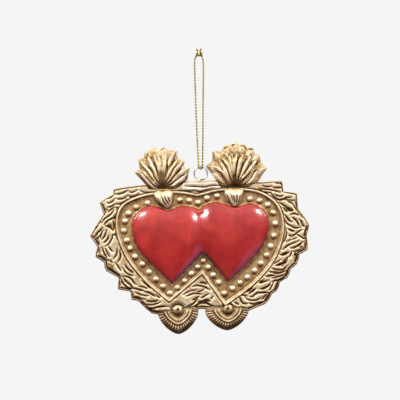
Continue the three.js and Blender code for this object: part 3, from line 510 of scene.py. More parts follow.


# --- Leaf border ---------------------------------------------------------------------------------------------
# Overlapping carved leaves round the heart in two halves, a short ribbed band between the flames and a spray under
# the apex. They share one relief, so that it runs on where they meet. Each cut between the blades holds dark glaze,
# and the blades' crests are wiped bright. Painted shade darkens the lower edges, and a painted highlight lightens
# the ribbed band at the top.

# The traced strokes, by their half width. A stroke is the line through its places, right and up in turn.
BORDER_CUTS = {
    0.2: [
        [-33.6, 21.5, -31.8, 21.4, -29.6, 22.4], [-28.4, 22, -26.5, 21.2, -22.8, 21],
        [-44, 16.3, -42, 17, -40.8, 18.2], [-28.8, -21.2, -24.8, -24.9], [-22.2, -28, -21.3, -28.9, -20.2, -29.5],
        [30.3, 22.9, 31.8, 22.4, 34.7, 22.4], [43.6, 15.2, 45.4, 12.2, 49, 7], [41, 15.9, 45.6, 15.3],
        [41, -4.2, 43.5, -3.2, 46, -2.6], [40.9, 1.6, 41.2, -0.6, 40.6, -2.8, 39.6, -4.8],
        [35.1, -14.7, 36.5, -13.7, 37.9, -13], [-9, -28.4, -6.8, -27.1, -4.6, -26.5, -2.6, -26.4],
        [-2.3, -27.3, -0.7, -26.9, 1, -25.9], [9.4, -31.6, 10.6, -31.2, 12.2, -31.1, 13.6, -31.4],
    ],
    0.26: [[-12.2, 20.6, -10, 21.3, -8, 21.5, -4, 21.2, -2, 21.3, -0.4, 20.8, 0.6, 20.8, 3, 21.5, 7, 22.2]],
    0.3: [
        [-40.6, 22.4, -37.5, 23.2, -33, 23.8, -29.5, 24], [-40, 20.5, -37.5, 20.9, -34.3, 22.2],
        [-39.4, 18.3, -36.8, 18.4, -34.6, 19.6], [-34.2, 19.9, -33, 19.2, -30.8, 19.6, -29, 20.6],
        [-28.5, 20.1, -26, 19.8, -23, 19.9], [-40.2, 15.9, -38, 16, -35.8, 17, -34.8, 18],
        [-40.4, 14.3, -38.8, 14, -37.6, 14.3, -36.8, 15], [-44, 18.6, -42.5, 19.2, -41.2, 20.3],
        [-44, 14.4, -42, 15, -40.5, 15.9], [-44, 12.2, -42.3, 13.6, -40.9, 14.4],
        [-47.3, 7, -45.8, 9, -43.2, 10.6, -41.3, 13], [-48.3, 6.5, -47.6, 9, -46.3, 11, -45.3, 12],
        [-45.5, 5.6, -43.5, 5, -42, 3.2], [-41.8, 8, -41.4, 5.5, -41.9, 3], [-49.7, -0.6, -48.4, 1],
        [-48.2, -0.2, -47.6, 1.8, -46.6, 3.4], [-47.4, -1, -46, 0.6, -45, 3.4],
        [-46.1, -4.3, -44, -3, -42.6, -0.8, -41.8, 1.2, -40.4, 0.9, -39.8, -0.8], [-45.9, -5.2, -43.8, -9.4],
        [-47.3, -4.8, -46.4, -7.5, -45.3, -9.6], [-44.2, -4.6, -42.4, -6.9], [-48.8, -8.4, -46.6, -9.6, -43.9, -11.6],
        [-40.2, -5.5, -40.5, -8.2, -42, -10.4], [-38.9, -6.5, -38.7, -9.5, -39.8, -11.8],
        [-43.9, -10.5, -42.6, -12.2], [-40.9, -12.4, -38.7, -16.1],
        [-37.7, -14.9, -36.4, -16.9, -34.8, -18, -32.8, -18.7], [-30.2, -23.8, -28.2, -24.1, -26.1, -25],
        [-32, -26.6, -29.7, -27.7, -25.8, -28.5], [-33.3, -28.7, -30.8, -28.9, -28.8, -29.8, -27.4, -30.1],
        [-27.2, -32.5, -24.7, -32.8, -21.9, -32.3, -20.2, -31.7], [-26.9, -33.1, -25.8, -34.8, -23.6, -36.4],
        [36, 24.1, 39.4, 23.5, 40.1, 22.3], [35.2, 21.8, 39.5, 21.7],
        [28.4, 21.4, 31.5, 21.2, 35.2, 20.6, 38.8, 19.4], [36, 18.4, 38.5, 17.6, 39.8, 17.8], [42.1, 15.2, 44, 14.1],
        [40.1, 12.1, 41, 10.8, 42, 9.9], [45.5, 15.5, 46.6, 12.5, 50.6, 5.8], [41.4, 19.3, 43.8, 19, 46, 18.3],
        [43.4, 8.5, 44.2, 9.1, 45.3, 9.1, 47.3, 8.3], [40.8, 5.8, 41.4, 4.6, 43.9, 3, 45.3, 2.3, 48.1, 2.4],
        [48.7, 1.3, 47.6, 0.8, 45.3, -0.8, 43.9, -1.6, 43.1, -2.4], [42.4, -1.3, 43.4, -1.6],
        [46.4, -1.1, 47.8, -1.9, 48.9, -2.7, 49.8, -3], [50.1, 0.9, 50.9, 1.2, 52, 2.6],
        [39.3, -8, 41.7, -6.1, 47, -4], [44.2, -9.1, 47.6, -8.4], [42.3, -11.6, 43.1, -10.2, 43.4, -9.1],
        [44.8, -9.7, 45.3, -10.8], [39.6, -13.6, 41.8, -11.6],
        [33.7, -16.9, 36.5, -17.6, 38.4, -17.7, 39.6, -17.2, 41.5, -15.5], [32.5, -18.4, 34.3, -18.7, 36.2, -18.6],
        [33.7, -21.6, 40.1, -20], [27.5, -23.7, 29.5, -22.4], [28.2, -23.8, 30.1, -23, 31.8, -22.7],
        [32.1, -27.4, 32.9, -26.3, 34.3, -23.8], [21.6, -27.8, 24.1, -26.2], [19.1, -29.2, 21.6, -29.9],
        [20.5, -30.3, 21.6, -31.3, 24.7, -32, 26.2, -31.8, 28.7, -30.6], [28.7, -31.8, 29.6, -30.4, 30.7, -29.4],
        [30, -32.2, 31, -31, 31.6, -29.8], [-6.8, 23.6, -2, 23.4, 3, 23, 5, 23.5, 9, 23.6, 10.8, 23.1],
        [-0.6, 20.7, 0.2, 20.5, 1, 20.8], [-4.3, -24.6, -2.3, -24.1, 1.6, -25.1, 3.8, -26.5],
        [-7.6, -29.1, -4, -27.9, -2.3, -27.9, -0.1, -28.4], [-0.4, -30.1, 2.9, -28.4], [4.3, -30.7, 5.2, -29.6],
        [15.2, -32.6, 17.4, -33.7],
    ],
    0.42: [
        [-46, 6.2, -44.6, 7.7, -42.4, 9, -40.6, 9.4, -40.2, 11], [-52.4, 1.4, -51.2, 3.6, -48.8, 5.8],
        [-50.8, 0.4, -49, 2.6, -46.8, 4.6], [-46.4, -2.6, -44.9, -1.2, -44, 0.6],
        [-45.1, -14.1, -40.1, -17.7, -38.7, -19.1], [-36.6, -13.3, -35.3, -15.2, -32.8, -17.2],
        [-37.8, -19.1, -36.4, -21.1, -34.2, -23, -33.1, -24.4],
        [-37.6, -18.7, -35.3, -19.1, -33.7, -20.2, -32.6, -21.9, -31.4, -23.1],
        [-38.7, -19.9, -37.6, -22.4, -35.3, -24.4, -32.8, -24.7], [-33.9, -24.4, -31.1, -25, -28.1, -26],
        [-27.7, -26.5, -25.8, -26.8, -22.4, -28.8], [-26.9, -30.9, -24.1, -31.2, -21.3, -30.9],
        [-26.9, -33.9, -24.1, -34.5, -21.3, -33.9, -18, -33.7, -16.1, -33.8],
        [22.9, 20.3, 29.3, 20.6, 30.4, 19.9, 32.7, 19.5, 34.3, 19.6],
        [34.1, 19.4, 35.2, 17.9, 38.2, 15.9, 42.1, 16.9, 44, 17], [38.2, 14.6, 41.8, 12.2, 43.8, 11.1],
        [41.2, 12, 42, 11.2, 43.1, 10.6, 44.5, 10.6], [40.9, 8.4, 42, 6.7, 43.1, 5.6, 43.9, 5.1],
        [44.2, 7.3, 46.4, 5.3, 47.3, 3.1], [47.6, 6.2, 48.4, 5.3, 48.9, 3.9, 49.8, 2.6], [42.1, 1.7, 44.8, 0.6],
        [43.1, -7.3, 44.5, -7.2, 47.3, -5.8, 48.7, -4.7], [38.1, -10.5, 40.6, -9.9, 41.7, -9.4],
        [35.7, -15.6, 40.9, -14], [34.6, -19.4, 38, -18.9, 40, -18.2], [30.9, -20.6, 33.7, -20.2, 35.1, -20.4],
        [33.7, -23.4, 35.1, -22.7, 36.5, -22.6, 38.2, -22.2, 39.6, -21.6],
        [27.9, -26.6, 29.6, -26.3, 32.1, -24.9, 32.9, -23.8], [22.4, -28.8, 23.6, -27.8, 25.8, -26.4],
        [23, -30.3, 24.6, -29.9, 25.9, -28.7, 29.6, -28.3, 31.8, -28.4],
        [17.9, -30.1, 19.1, -32.8, 20.2, -33.4, 21.6, -33.5], [22.7, -33.3, 24.4, -33.7, 27.4, -33, 29.3, -32.7],
        [14.9, -34.5, 16.3, -35.2, 18, -35.3, 21.3, -35.9, 22.4, -35.3], [-0.9, -22.9, 0.7, -22.8, 2.4, -23.6],
        [-4.6, -31.2, -1.8, -29.6], [-7.3, -34, -5.1, -33.2, -2.3, -30.9],
        [-2.3, -32.1, -0.1, -31.8, 2.7, -31.2, 3.8, -31.8],
    ],
    0.5: [[-8.2, -34.6, -6.5, -34.4, -4.6, -34.6, -1, -32.6, 2, -32.6, 4.4, -34, 6, -34.4, 8.8, -34.2]],
    0.55: [[-24, -36.3, -19, -36.2, -16, -35.9]],
}
BORDER_HOLLOWS = {
    0.5: [[-33.6, 19, -31.2, 19.3]],
    0.6: [
        [-41.2, 10.6, -40.9, 9.2], [-40.4, 13.6, -39.2, 13], [-33.2, -27.2, -32.8, -28.4], [-24.6, -35, -22.5, -35.6],
        [38.2, -15.9, 39.6, -15.6], [27.6, -23.6, 29, -22.9], [18.2, -35.2, 21.6, -35.9],
    ],
    0.7: [
        [-45.2, 13.6, -43.8, 13.2], [42.2, 11.6, 44.8, 10.9], [42.5, -1.3, 42.9, -1.3], [38.6, -10.6, 42, -9.4],
        [36.2, -15.3, 38.2, -14.9, 41.4, -13.2], [50.2, 0.5, 50, -7],
    ],
    0.8: [[-44.6, 5.4, -43.2, 5.6, -42.4, 4.6], [-50, 0.2, -48.9, -3.2], [-39.6, -21, -39, -23.2]],
    0.9: [
        [-49.6, -4.6, -48.5, -8], [-29.2, -31, -28.2, -32.8], [47.4, -7, 48.8, -7.6], [41.2, -17.6, 40.3, -20.8],
        [0.8, -31.6, 3.2, -32],
    ],
    1: [[36.6, -23.8, 36, -25.6, 35.2, -27.2]],
    1.1: [[45.2, -10, 45.4, -12, 44.8, -13.4]],
    1.2: [[32.6, -28.6, 31.2, -30.4, 30.2, -32.2]],
    1.3: [[-44.8, -12.8, -43.5, -13.6, -42.5, -15]],
}
BOSSES = {"left": (-11.8, -36.0), "right": (12.2, -36.1)}


def around_boss(side, reach, turn):
    """A place round one side's boss."""
    return BOSSES[side][0] + reach * math.cos(turn), BOSSES[side][1] + reach * math.sin(turn)


def drawn(table):
    """A table's strokes, each as its half width and its line."""
    return [(broad, line) for broad, lines in table.items() for line in lines]


border_cuts, border_hollows = drawn(BORDER_CUTS), drawn(BORDER_HOLLOWS)
for side in HALVES:
    border_cuts.append((0.38, [around_boss(side, 3.05, turn) for turn in np.linspace(0.25, 2.9, 7)]))
for turn in np.linspace(0.5, 2.75, 11):
    border_cuts.append((0.2, [around_boss("left", reach, turn) for reach in (3.3, 4.3)]))
heart_marks = fine(heart_line, 0.3)
lip_marks = fine(lip, 0.25)
over = np.roll(lip_marks, -1, 0)[:, 0] < lip_marks[:, 0]
upper_lip, lower_lip = lip_marks[over], lip_marks[~over]


def smoothstep(value, low, high):
    t = np.clip((value - low) / (high - low), 0, 1)
    return t * t * (3 - 2 * t)


def strokes(points, cuts):
    """How near each point is to the nearest drawn stroke, as a share of the stroke's half width, which narrows to a
    point at both ends, and in millimetres. A stroke is its half width and the points of a smooth line."""
    share_off, off = np.full(len(points), 9.0), np.full(len(points), 9.0)
    for broad, line in cuts:
        line = np.reshape(line, (-1, 2))
        path = smooth(line, 4 * len(line), closing=True)
        near = np.flatnonzero(((points > path.min(0) - 3) & (points < path.max(0) + 3)).all(1))
        if not len(near):
            continue
        p = points[near]
        best, share = np.full(len(p), 1e9), np.zeros(len(p))
        for i, (a, b) in enumerate(zip(path, path[1:])):
            t = np.clip(((p - a) @ (b - a)) / ((b - a) @ (b - a)), 0, 1)
            d = np.linalg.norm(p - a - t[:, None] * (b - a), axis=1)
            share = np.where(d < best, (i + t) / (len(path) - 1), share)
            best = np.minimum(best, d)
        swell = np.clip(np.minimum(share, 1 - share) * 5, 0.35, 1)
        share_off[near] = np.minimum(share_off[near], best / (broad * swell))
        off[near] = np.minimum(off[near], best)
    return share_off, off


def border_surface(flat, edge):
    over, under, inner = away(flat, upper_lip), away(flat, lower_lip), away(flat, heart_marks)
    outer = np.minimum(over, under)
    below = under < over
    share, off = strokes(flat, border_cuts)
    cut, low = bump(share, 0, 1), bump(strokes(flat, border_hollows)[0], 0, 1)
    blade = quarter_round(off, 1.0)
    rim_at, line_at = np.where(below, 0.75, 0.12), np.where(below, 1.3, 0.5)
    rim, line = bump(outer, rim_at, 0.26), bump(outer, line_at, 0.19)
    body = smoothstep(outer, line_at, line_at + 0.6)
    height = PLATE + 0.3 + 0.3 * smoothstep(outer, 0, 0.3) + np.where(below, 0.75, 0.4) * rim - 0.25 * line
    height += (0.8 + 1.1 * blade) * body - 0.35 * cut - 0.5 * low * body - 0.4 * bump(inner, 1.05, 0.2)
    tone_and_painted_light = 0.46 - 0.24 * blade * body + 0.13 * smoothstep(off, 0.9, 2.0) * body
    tone_and_painted_light += 0.7 * cut * smoothstep(outer, 0.2, 0.6) - 0.22 * rim + 0.5 * line
    # Painted shade along the lower edges, where they turn down away from the lamps; the hollows hold dark glaze.
    tone_and_painted_light += 0.34 * low + 0.4 * below * (1 - smoothstep(outer, 0.3, 0.55)) + 0.45 * bump(inner, 1.08, 0.2)
    # Painted highlight across the ribbed band at the top, where it faces the lamps.
    painted_light = smoothstep(flat[:, 1], 21.4, 22.2) * (1 - smoothstep(np.abs(flat[:, 0] - 1.5), 8, 11))
    tone_and_painted_light -= painted_light * (0.22 * (1 - cut) + 0.35 * line)
    return np.maximum(height, PLATE + 0.1), np.clip(tone_and_painted_light, 0, 1)


carved_gilt = antiqued_gilt(
    "antiqued_gilt_carving",
    [(0.0, "#f1e6d5"), (0.2, "#dbc8a6"), (0.42, "#ac8c5c"), (0.66, "#6c4b29"), (0.85, "#3f2811"), (1.0, "#271607")],
    0.36, 0.62,
)
FAR = 90
split_left, split_right = FLAME_FOOT["left"][0], FLAME_FOOT["right"][0]
foot_left, foot_right = -15.8, 11.0
top_box = [(split_left, 0), (split_right, 0), (split_right, FAR), (split_left, FAR)]
foot_box = [(foot_left, -FAR), (foot_right, -FAR), (foot_right, 0), (foot_left, 0)]
left_box = [(-FAR, -FAR), (foot_left, -FAR), (foot_left, 0), (split_left, 0), (split_left, FAR), (-FAR, FAR)]
right_box = [(foot_right, -FAR), (FAR, -FAR), (FAR, FAR), (split_right, FAR), (split_right, 0), (foot_right, 0)]
lengths = {
    "leaf_border_left": ("carved_leaves_left", [top_box, foot_box, right_box]),
    "leaf_border_right": ("carved_leaves_right", [top_box, foot_box, left_box]),
    "band_top": ("ribbed_band", [left_box, right_box, foot_box]),
    "leaves_under_apex": ("apex_spray", [left_box, right_box, top_box]),
}
for node, (name, others) in lengths.items():
    holes = [inset(heart_line, -0.9), *map(np.array, others), *(inset(p, -0.3) for p in flame_outline.values())]
    piece = relief(name, [inset(lip, 0.3)], PLATE - 0.05, border_surface, holes, step=0.25, round_off=0)
    piece.data.materials.append(carved_gilt)
    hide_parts(node)
    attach(piece, "ornament")


# --- Enamel hearts -------------------------------------------------------------------------------------------
# Two glossy red hearts of poured translucent enamel over gold, domed by surface tension and run together along a
# shallow crease. The eye gets a deep wet red, lighter on the upper lobes, with sharp lamp glints.

ENAMEL_EDGE, ENAMEL_CROWN = 1.3, 4.9


def swollen(paths, cell=0.5):
    """A soap-film swelling over outlines, 0 at the edge and 1 at the crown, as a function of flat points."""
    marks = np.vstack(paths)
    low, high = marks.min(0) - 2, marks.max(0) + 2
    xs, ys = np.arange(low[0], high[0], cell), np.arange(low[1], high[1], cell)
    grid = np.stack(np.meshgrid(xs, ys), -1)
    mask = within_any(grid.reshape(-1, 2), paths).reshape(grid.shape[:2])
    film = np.zeros(mask.shape)
    odd = (np.add.outer(np.arange(len(ys)), np.arange(len(xs))) % 2).astype(bool)
    for _ in range(500):
        for turn in (odd, ~odd):
            around = np.zeros(mask.shape)
            around[1:-1, 1:-1] = film[2:, 1:-1] + film[:-2, 1:-1] + film[1:-1, 2:] + film[1:-1, :-2]
            film = np.where(mask & turn, film + 1.9 * ((around + cell * cell) / 4 - film), film)
    film = np.sqrt(np.clip(film, 0, None) / film.max())

    def at(points):
        x = np.clip((points[:, 0] - xs[0]) / cell, 0, len(xs) - 2)
        y = np.clip((points[:, 1] - ys[0]) / cell, 0, len(ys) - 2)
        i, j = x.astype(int), y.astype(int)
        fx, fy = x - i, y - j
        row = lambda k: film[k, i] * (1 - fx) + film[k, i + 1] * fx
        return row(j) * (1 - fy) + row(j + 1) * fy

    return at


both_swell = swollen(list(enamel_outline.values()))
crease = fine([CREASE, ENAMEL_APEX], 0.3, closed=False)
enamel_rim = enamel_marks[away(enamel_marks, crease) > 0.6]


def red_enamel():
    """Translucent red stove enamel, poured thick: a saturated body colour under a clear wet coat, with faint
    swirls of pigment. It is darkened towards a deep wine by painted shade near the rim."""
    finish, tree, place = new_finish("red_enamel")
    swirl = add(tree, "TexNoise", {"Vector": place, "Scale": 110.0, "Detail": 3.0, "Distortion": 0.6}).outputs["Fac"]
    colour = ramp(tree, swirl, [(0.3, "#821411"), (0.5, "#931d18"), (0.7, "#a52a22")])
    # Painted shade near the rim, mixed in towards a deep wine.
    painted_shade = add(tree, "Attribute", attribute_name="tone_and_painted_light").outputs["Fac"]
    colour = add(tree, "Mix", {0: painted_shade, 6: colour, 7: linear("#20040c")}, data_type="RGBA").outputs[2]
    wave = add(tree, "TexNoise", {"Vector": place, "Scale": 160.0, "Detail": 1.0}).outputs["Fac"]
    skin = add(tree, "Bump", {"Height": wave, "Strength": 0.2, "Distance": 0.0006})
    return principled(finish, tree, {
        "Base Color": colour, "Roughness": 0.22, "IOR": 1.52, "Coat Weight": 1.0, "Coat Roughness": 0.03,
        "Coat IOR": 1.52, "Normal": skin.outputs[0], "Coat Normal": skin.outputs[0],
    })


def enamel_surface(flat, edge):
    """Domed over both hearts at once, with a shallow valley at the crease and a bend down to the bezel, and painted
    shade near the rim, strongest on the lower flanks and towards the middle.
    """
    valley, rim = 0.22 * bump(away(flat, crease), 0, 3.0), away(flat, enamel_rim)
    swell = both_swell(flat) ** 0.9 - valley * smoothstep(rim, 0.0, 3.0)
    bend = 1 - quarter_round(rim, 1.4)
    low, inner = 1 - smoothstep(flat[:, 1], -4, 8), bump(flat[:, 0], -1, 13)
    # Painted shade near the rim, strongest on the lower flanks and towards the middle.
    painted_shade = bump(rim, 0, 1.7) * (0.2 + low * (0.4 + 0.4 * inner))
    return FIELD_TOP + ENAMEL_EDGE + (ENAMEL_CROWN - ENAMEL_EDGE) * swell - 0.95 * bend, painted_shade


enamel = red_enamel()
for side in HALVES:
    piece = relief(f"poured_enamel_{side}", [enamel_outline[side]], FIELD_TOP - 0.05, enamel_surface, step=0.4,
                   round_off=0)
    piece.data.materials.append(enamel)
    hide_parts(f"enamel_heart_{side}")
    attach(piece, "ornament")


# --- Flames --------------------------------------------------------------------------------------------------
# A fan of petals over each lobe, with a shorter fan nested in front of it. Cast, with rounded petals that run
# together into a dark hollow at the foot, and carved cuts between them.

FLAME_CUTS = {
    "left": {
        0.2: [[-22.9, 38.2, -22.1, 36.9], [-16.5, 37.6, -17, 36.6, -17.4, 35.1, -17.6, 33]],
        0.3: [
            [-25.6, 34.7, -22.1, 31, -21.7, 29.1, -20.9, 27.2, -18.7, 24.4],
            [-22, 36, -21.5, 35.1, -20.2, 31.6, -19.8, 29.7], [-12.7, 38.7, -14, 37.6, -14.8, 36.3, -15.2, 31],
            [-10.7, 40.1, -11.8, 36.3, -14.5, 31.3], [-9, 34.8, -11.5, 32.9, -13.1, 30.1, -14.9, 27.2, -17.1, 24.4],
            [-6.2, 30.1, -7.4, 29.4, -12.8, 25.4, -14.6, 24.4], [-26.8, 29.4, -25.6, 28.5, -21.8, 24.4, -20.3, 23.5],
            [-28.4, 34.8, -25.6, 31.9, -23.1, 28.2, -20.6, 25.1], [-25.3, 36.9, -24.6, 38.2, -24.3, 39.8],
            [-18.1, 41, -16.8, 42.1, -15.9, 42.3],
        ],
        0.42: [
            [-7, 35.1, -7.4, 33.8, -8.7, 32.6, -9.9, 31, -13.7, 26.6, -15.2, 25.4],
            [-4.9, 29.4, -6.8, 26.3, -10.9, 23.8, -12.8, 23.3], [-28.7, 29.4, -22.8, 22.9, -21.5, 22.3],
        ],
    },
    "right": {
        0.2: [[9.1, 37, 9.7, 34.7, 11.7, 30], [14.1, 38, 14.6, 36.8], [17.2, 38.8, 16.7, 37.3, 16.5, 35.7]],
        0.3: [
            [7.5, 30.7, 10.2, 29.9, 11.3, 28.4, 13.6, 24.7], [10.7, 35.8, 12.8, 33.3, 15, 26.7, 15.7, 25],
            [20, 38.5, 18.5, 34.7, 17.2, 26.7], [23.8, 37.2, 22.7, 35.7, 20.7, 32, 18.7, 26.3],
            [26.7, 35.2, 25.3, 34, 22.7, 30.3, 20.7, 27.7], [25.7, 30, 24, 28.7, 22.7, 27.3, 21.3, 26.3, 20, 25],
            [28.7, 30.8, 27.3, 30.3, 26.3, 29.3, 24.3, 26, 21.7, 23.7], [12.3, 40.8, 13, 41.5, 13.7, 41.7],
            [20, 42, 21, 42.5, 23.3, 40.2], [6.9, 39.6, 7.5, 36], [28.3, 35, 28, 33.7, 27.3, 32.7],
            [25, 38.3, 25.5, 37],
        ],
        0.42: [[16, 42, 16.7, 42.8, 17.5, 43], [24, 41, 25, 40.8, 26.3, 40.2]],
    },
}
PETALS = {
    "left": [
        [-28.2, 30.4, -26.5, 28.5, -25.1, 26.8, -23.5, 25.1, -22.1, 23.7, -20.3, 22.7],
        [-28.1, 31.6, -26.5, 30.7, -24.9, 29.1, -23.4, 27.3, -21.8, 25.5, -20.3, 24.1],
        [-27.8, 35.7, -26.2, 33.8, -24.6, 31.9, -23.2, 30.1, -22.1, 28.2, -20.9, 26.3, -19.5, 24.8],
        [-24.6, 38.2, -23.4, 35.7, -22.1, 33.5, -21.2, 31.3, -20.6, 29.1, -19.6, 26.6],
        [-21.5, 38.8, -20.6, 36.6, -19.8, 34.4, -19.3, 32.3, -19, 29.8],
        [-19.3, 38.8, -18.7, 35.7, -18.5, 32.9, -18.4, 30.4],
        [-17, 39.1, -17, 36.6, -17.1, 34.1, -17.4, 31.9, -17.6, 29.8],
        [-15.6, 39.1, -15.9, 36.6, -16.2, 33.8, -16.5, 31.6, -16.8, 29.4],
        [-12.4, 38.5, -13.5, 36.9, -14.2, 35.4, -14.5, 33.5],
        [-10.3, 36.3, -11.5, 34.4, -12.8, 32.9, -13.7, 31, -14.6, 29.1, -15.9, 26.9],
        [-8.1, 35.1, -9.3, 33.5, -10.9, 31.9, -11.8, 30.4, -12.8, 28.8, -14, 27.3, -15.6, 25.7],
        [-5.9, 31.9, -7.4, 31, -9, 29.8, -10.6, 28.2, -12.1, 26.6, -14, 25.2],
        [-6.2, 29.1, -7.4, 27.9, -9, 26.6, -10.6, 25.7, -12.1, 24.4, -14, 23.8],
    ],
    "right": [
        [6.3, 29.3, 8, 28.3, 9.7, 26.7, 11.3, 25], [7, 32.7, 9.3, 31.7, 11.3, 30, 12.7, 28, 13.7, 26, 14.7, 24.3],
        [9.7, 35.3, 11, 33.3, 12.3, 31, 13.3, 29, 14.3, 26.7, 15.3, 25],
        [11.7, 36.3, 13, 34.7, 14, 32.7, 14.7, 30.3, 15.3, 28, 16, 26],
        [13.3, 38.3, 15, 36.3, 15.3, 34, 15.8, 31.3, 16.3, 28.7],
        [16.3, 38, 16.7, 36, 16.7, 33.7, 16.8, 31.3, 16.8, 28.7],
        [18.3, 38.3, 18, 36.3, 17.5, 34.3, 17.2, 32, 17.1, 29.3],
        [21.3, 37.7, 20.3, 35.7, 19.7, 33.7, 19.2, 31.3, 18.5, 29, 18, 26.7],
        [24.7, 36.3, 23.3, 34.3, 22.2, 32, 21.2, 30, 20.2, 28, 19.2, 26.3],
        [27.3, 34.3, 26, 32.7, 24.3, 30.7, 23, 29, 21.7, 27.7, 20, 26],
        [26.3, 30.7, 25.3, 29, 24, 27, 22.7, 25.7, 21, 24.3],
        [28.3, 30.3, 27.3, 29, 26.3, 27.3, 25.3, 26, 24, 25, 22.7, 24],
    ],
}
FRONT_TIPS = {
    "left": [(-7.2, 29.8), (-9.2, 34.6), (-12.3, 38.4), (-16.4, 38.6), (-20.6, 38.6), (-24.9, 35.2), (-26.9, 29.6)],
    "right": [(28.2, 31.0), (26.9, 35.4), (23.9, 37.6), (20.1, 39.0), (17.2, 39.2), (14.0, 38.4), (10.6, 36.2),
              (8.2, 31.0)],
}
FRONT_NOTCHES = {
    "left": [(-8.8, 31.4), (-11.4, 34.8), (-14.5, 36.7), (-18.5, 37.0), (-22.4, 35.4), (-24.7, 31.6)],
    "right": [(26.7, 32.0), (24.9, 34.8), (22.0, 36.8), (18.7, 37.6), (15.6, 37.4), (12.5, 35.8), (10.4, 32.4)],
}
FLAME_BASE, PETAL_WIDTH = 2.75, 1.1
REAR_WIDTH, REAR_RUN = 1.7, 0.72
SLIM_WITHIN, SLIM = 4.15, 0.68


def flame_height(side, in_front):
    """The relief of one side's flames: two rows of petals, carved cuts, and the dark hollow at their foot, with
    painted shade on the lower flank and a painted highlight along the other edges.
    """
    foot = np.array(FLAME_FOOT[side])
    petals = [(PETAL_WIDTH * (SLIM if abs(line[0] - foot[0]) < SLIM_WITHIN else 1), line) for line in PETALS[side]]
    tips = FLAME_TIPS[side]
    rear = [(REAR_WIDTH, [tip, foot + (np.array(tip) - foot) * REAR_RUN]) for tip in tips]
    shaded = fine([foot + (-FLAME_FOOT_HALF, -0.5), tips[-1]], 0.3, closed=False)
    lit = fine([foot + (FLAME_FOOT_HALF, -0.5), tips[0]], 0.3, closed=False)

    def surface(flat, edge):
        right, up = (flat - foot).T
        front_share, _ = strokes(flat, petals)
        rear_share, _ = strokes(flat, rear)
        cut = bump(strokes(flat, drawn(FLAME_CUTS[side]))[0], 0, 1)
        ridge = np.sqrt(np.clip(1 - front_share ** 2, 0, 1))
        back_ridge = np.sqrt(np.clip(1 - rear_share ** 2, 0, 1))
        hollow = bump(right, 0, 3.4) * bump(up, 1.2, 4.2)
        lower = 1 - smoothstep(away(flat, shaded), 0.4, 2.6)
        mild = 1 - smoothstep(away(flat, lit), 0.0, 2.0)
        height = FLAME_BASE + 0.8 * smoothstep(edge, 0, 1.5) + 1.1 * ridge + 0.6 * back_ridge * (1 - ridge)
        height = height - 0.6 * cut - 0.8 * hollow - 0.6 * lower - 0.3 * mild
        if in_front:
            height = height + 0.15 + 1.0 * smoothstep(edge, 0.0, 3.0)
        # Painted shade on the lower flank that faces away from the lamps, and a painted highlight along the edges
        # elsewhere.
        tone_and_painted_light = (0.54 if in_front else 0.42) - 0.3 * ridge - 0.1 * back_ridge * (1 - ridge)
        tone_and_painted_light = tone_and_painted_light + 0.42 * cut + 0.28 * hollow + 0.1 * lower + 0.05 * mild
        tone_and_painted_light = tone_and_painted_light - 0.14 * (1 - smoothstep(edge, 0.1, 0.5)) * (lower < 0.2)
        return height, np.clip(tone_and_painted_light, 0, 0.84)

    return surface


for side in HALVES:
    foot = np.array(FLAME_FOOT[side])
    front = fan_edge(foot + (0, 0.2), 4.6, FRONT_TIPS[side], FRONT_NOTCHES[side])
    for node, outline, seat in (("flame_back", flame_outline[side], PLATE), ("flame_front", front, 2.0)):
        piece = relief(f"{node}_petals_{side}", [outline], seat, flame_height(side, node == "flame_front"), step=0.22,
                       round_off=0.35)
        piece.data.materials.append(carved_gilt)
        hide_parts(f"{node}_{side}")
        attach(piece, "ornament")


# --- Small fluted hearts -------------------------------------------------------------------------------------
# A small domed heart at each flame's foot, cast in place and cut with flutes that meet at its point.

SMALL_HEARTS = {
    "left": [(-17.6, 21.5), (-19.6, 22.1), (-21.4, 21.3), (-22.0, 19.6), (-21.5, 17.6), (-20.1, 15.3), (-17.9, 13.8),
             (-15.0, 13.2), (-13.7, 14.4), (-12.8, 17.4), (-12.5, 19.9), (-13.3, 21.8), (-15.5, 22.2)],
    "right": [(16.5, 22.0), (14.3, 22.3), (12.2, 21.4), (11.8, 19.9), (12.7, 17.7), (14.1, 14.9), (15.8, 13.3),
              (17.3, 13.0), (18.8, 14.4), (20.3, 17.5), (21.2, 19.6), (20.9, 21.1), (18.7, 22.2)],
}
FLUTES = {
    "left": {
        0.3: [
            [-21.6, 19.4, -21.2, 18, -19.7, 15.7, -17.6, 14.1], [-20.2, 18.2, -19.4, 16.4, -17.9, 14.8, -16.4, 13.9],
            [-18.7, 19.3, -17.8, 17.9, -16.8, 15.8, -15.5, 14.2], [-16.9, 19.4, -16.4, 17.8, -14.6, 14.6],
            [-15.2, 18.9, -14.2, 15.9],
        ],
    },
    "right": {
        0.2: [[14.8, 19.6, 16, 15.9], [19.5, 18.6, 19.2, 17.1, 18.4, 15]],
        0.3: [
            [12.9, 19.4, 14.7, 15.2, 16, 13.9], [16, 18.8, 16.5, 17.2, 16.8, 15],
            [17.8, 18.9, 17.9, 17.1, 17.5, 14.6],
        ],
    },
}

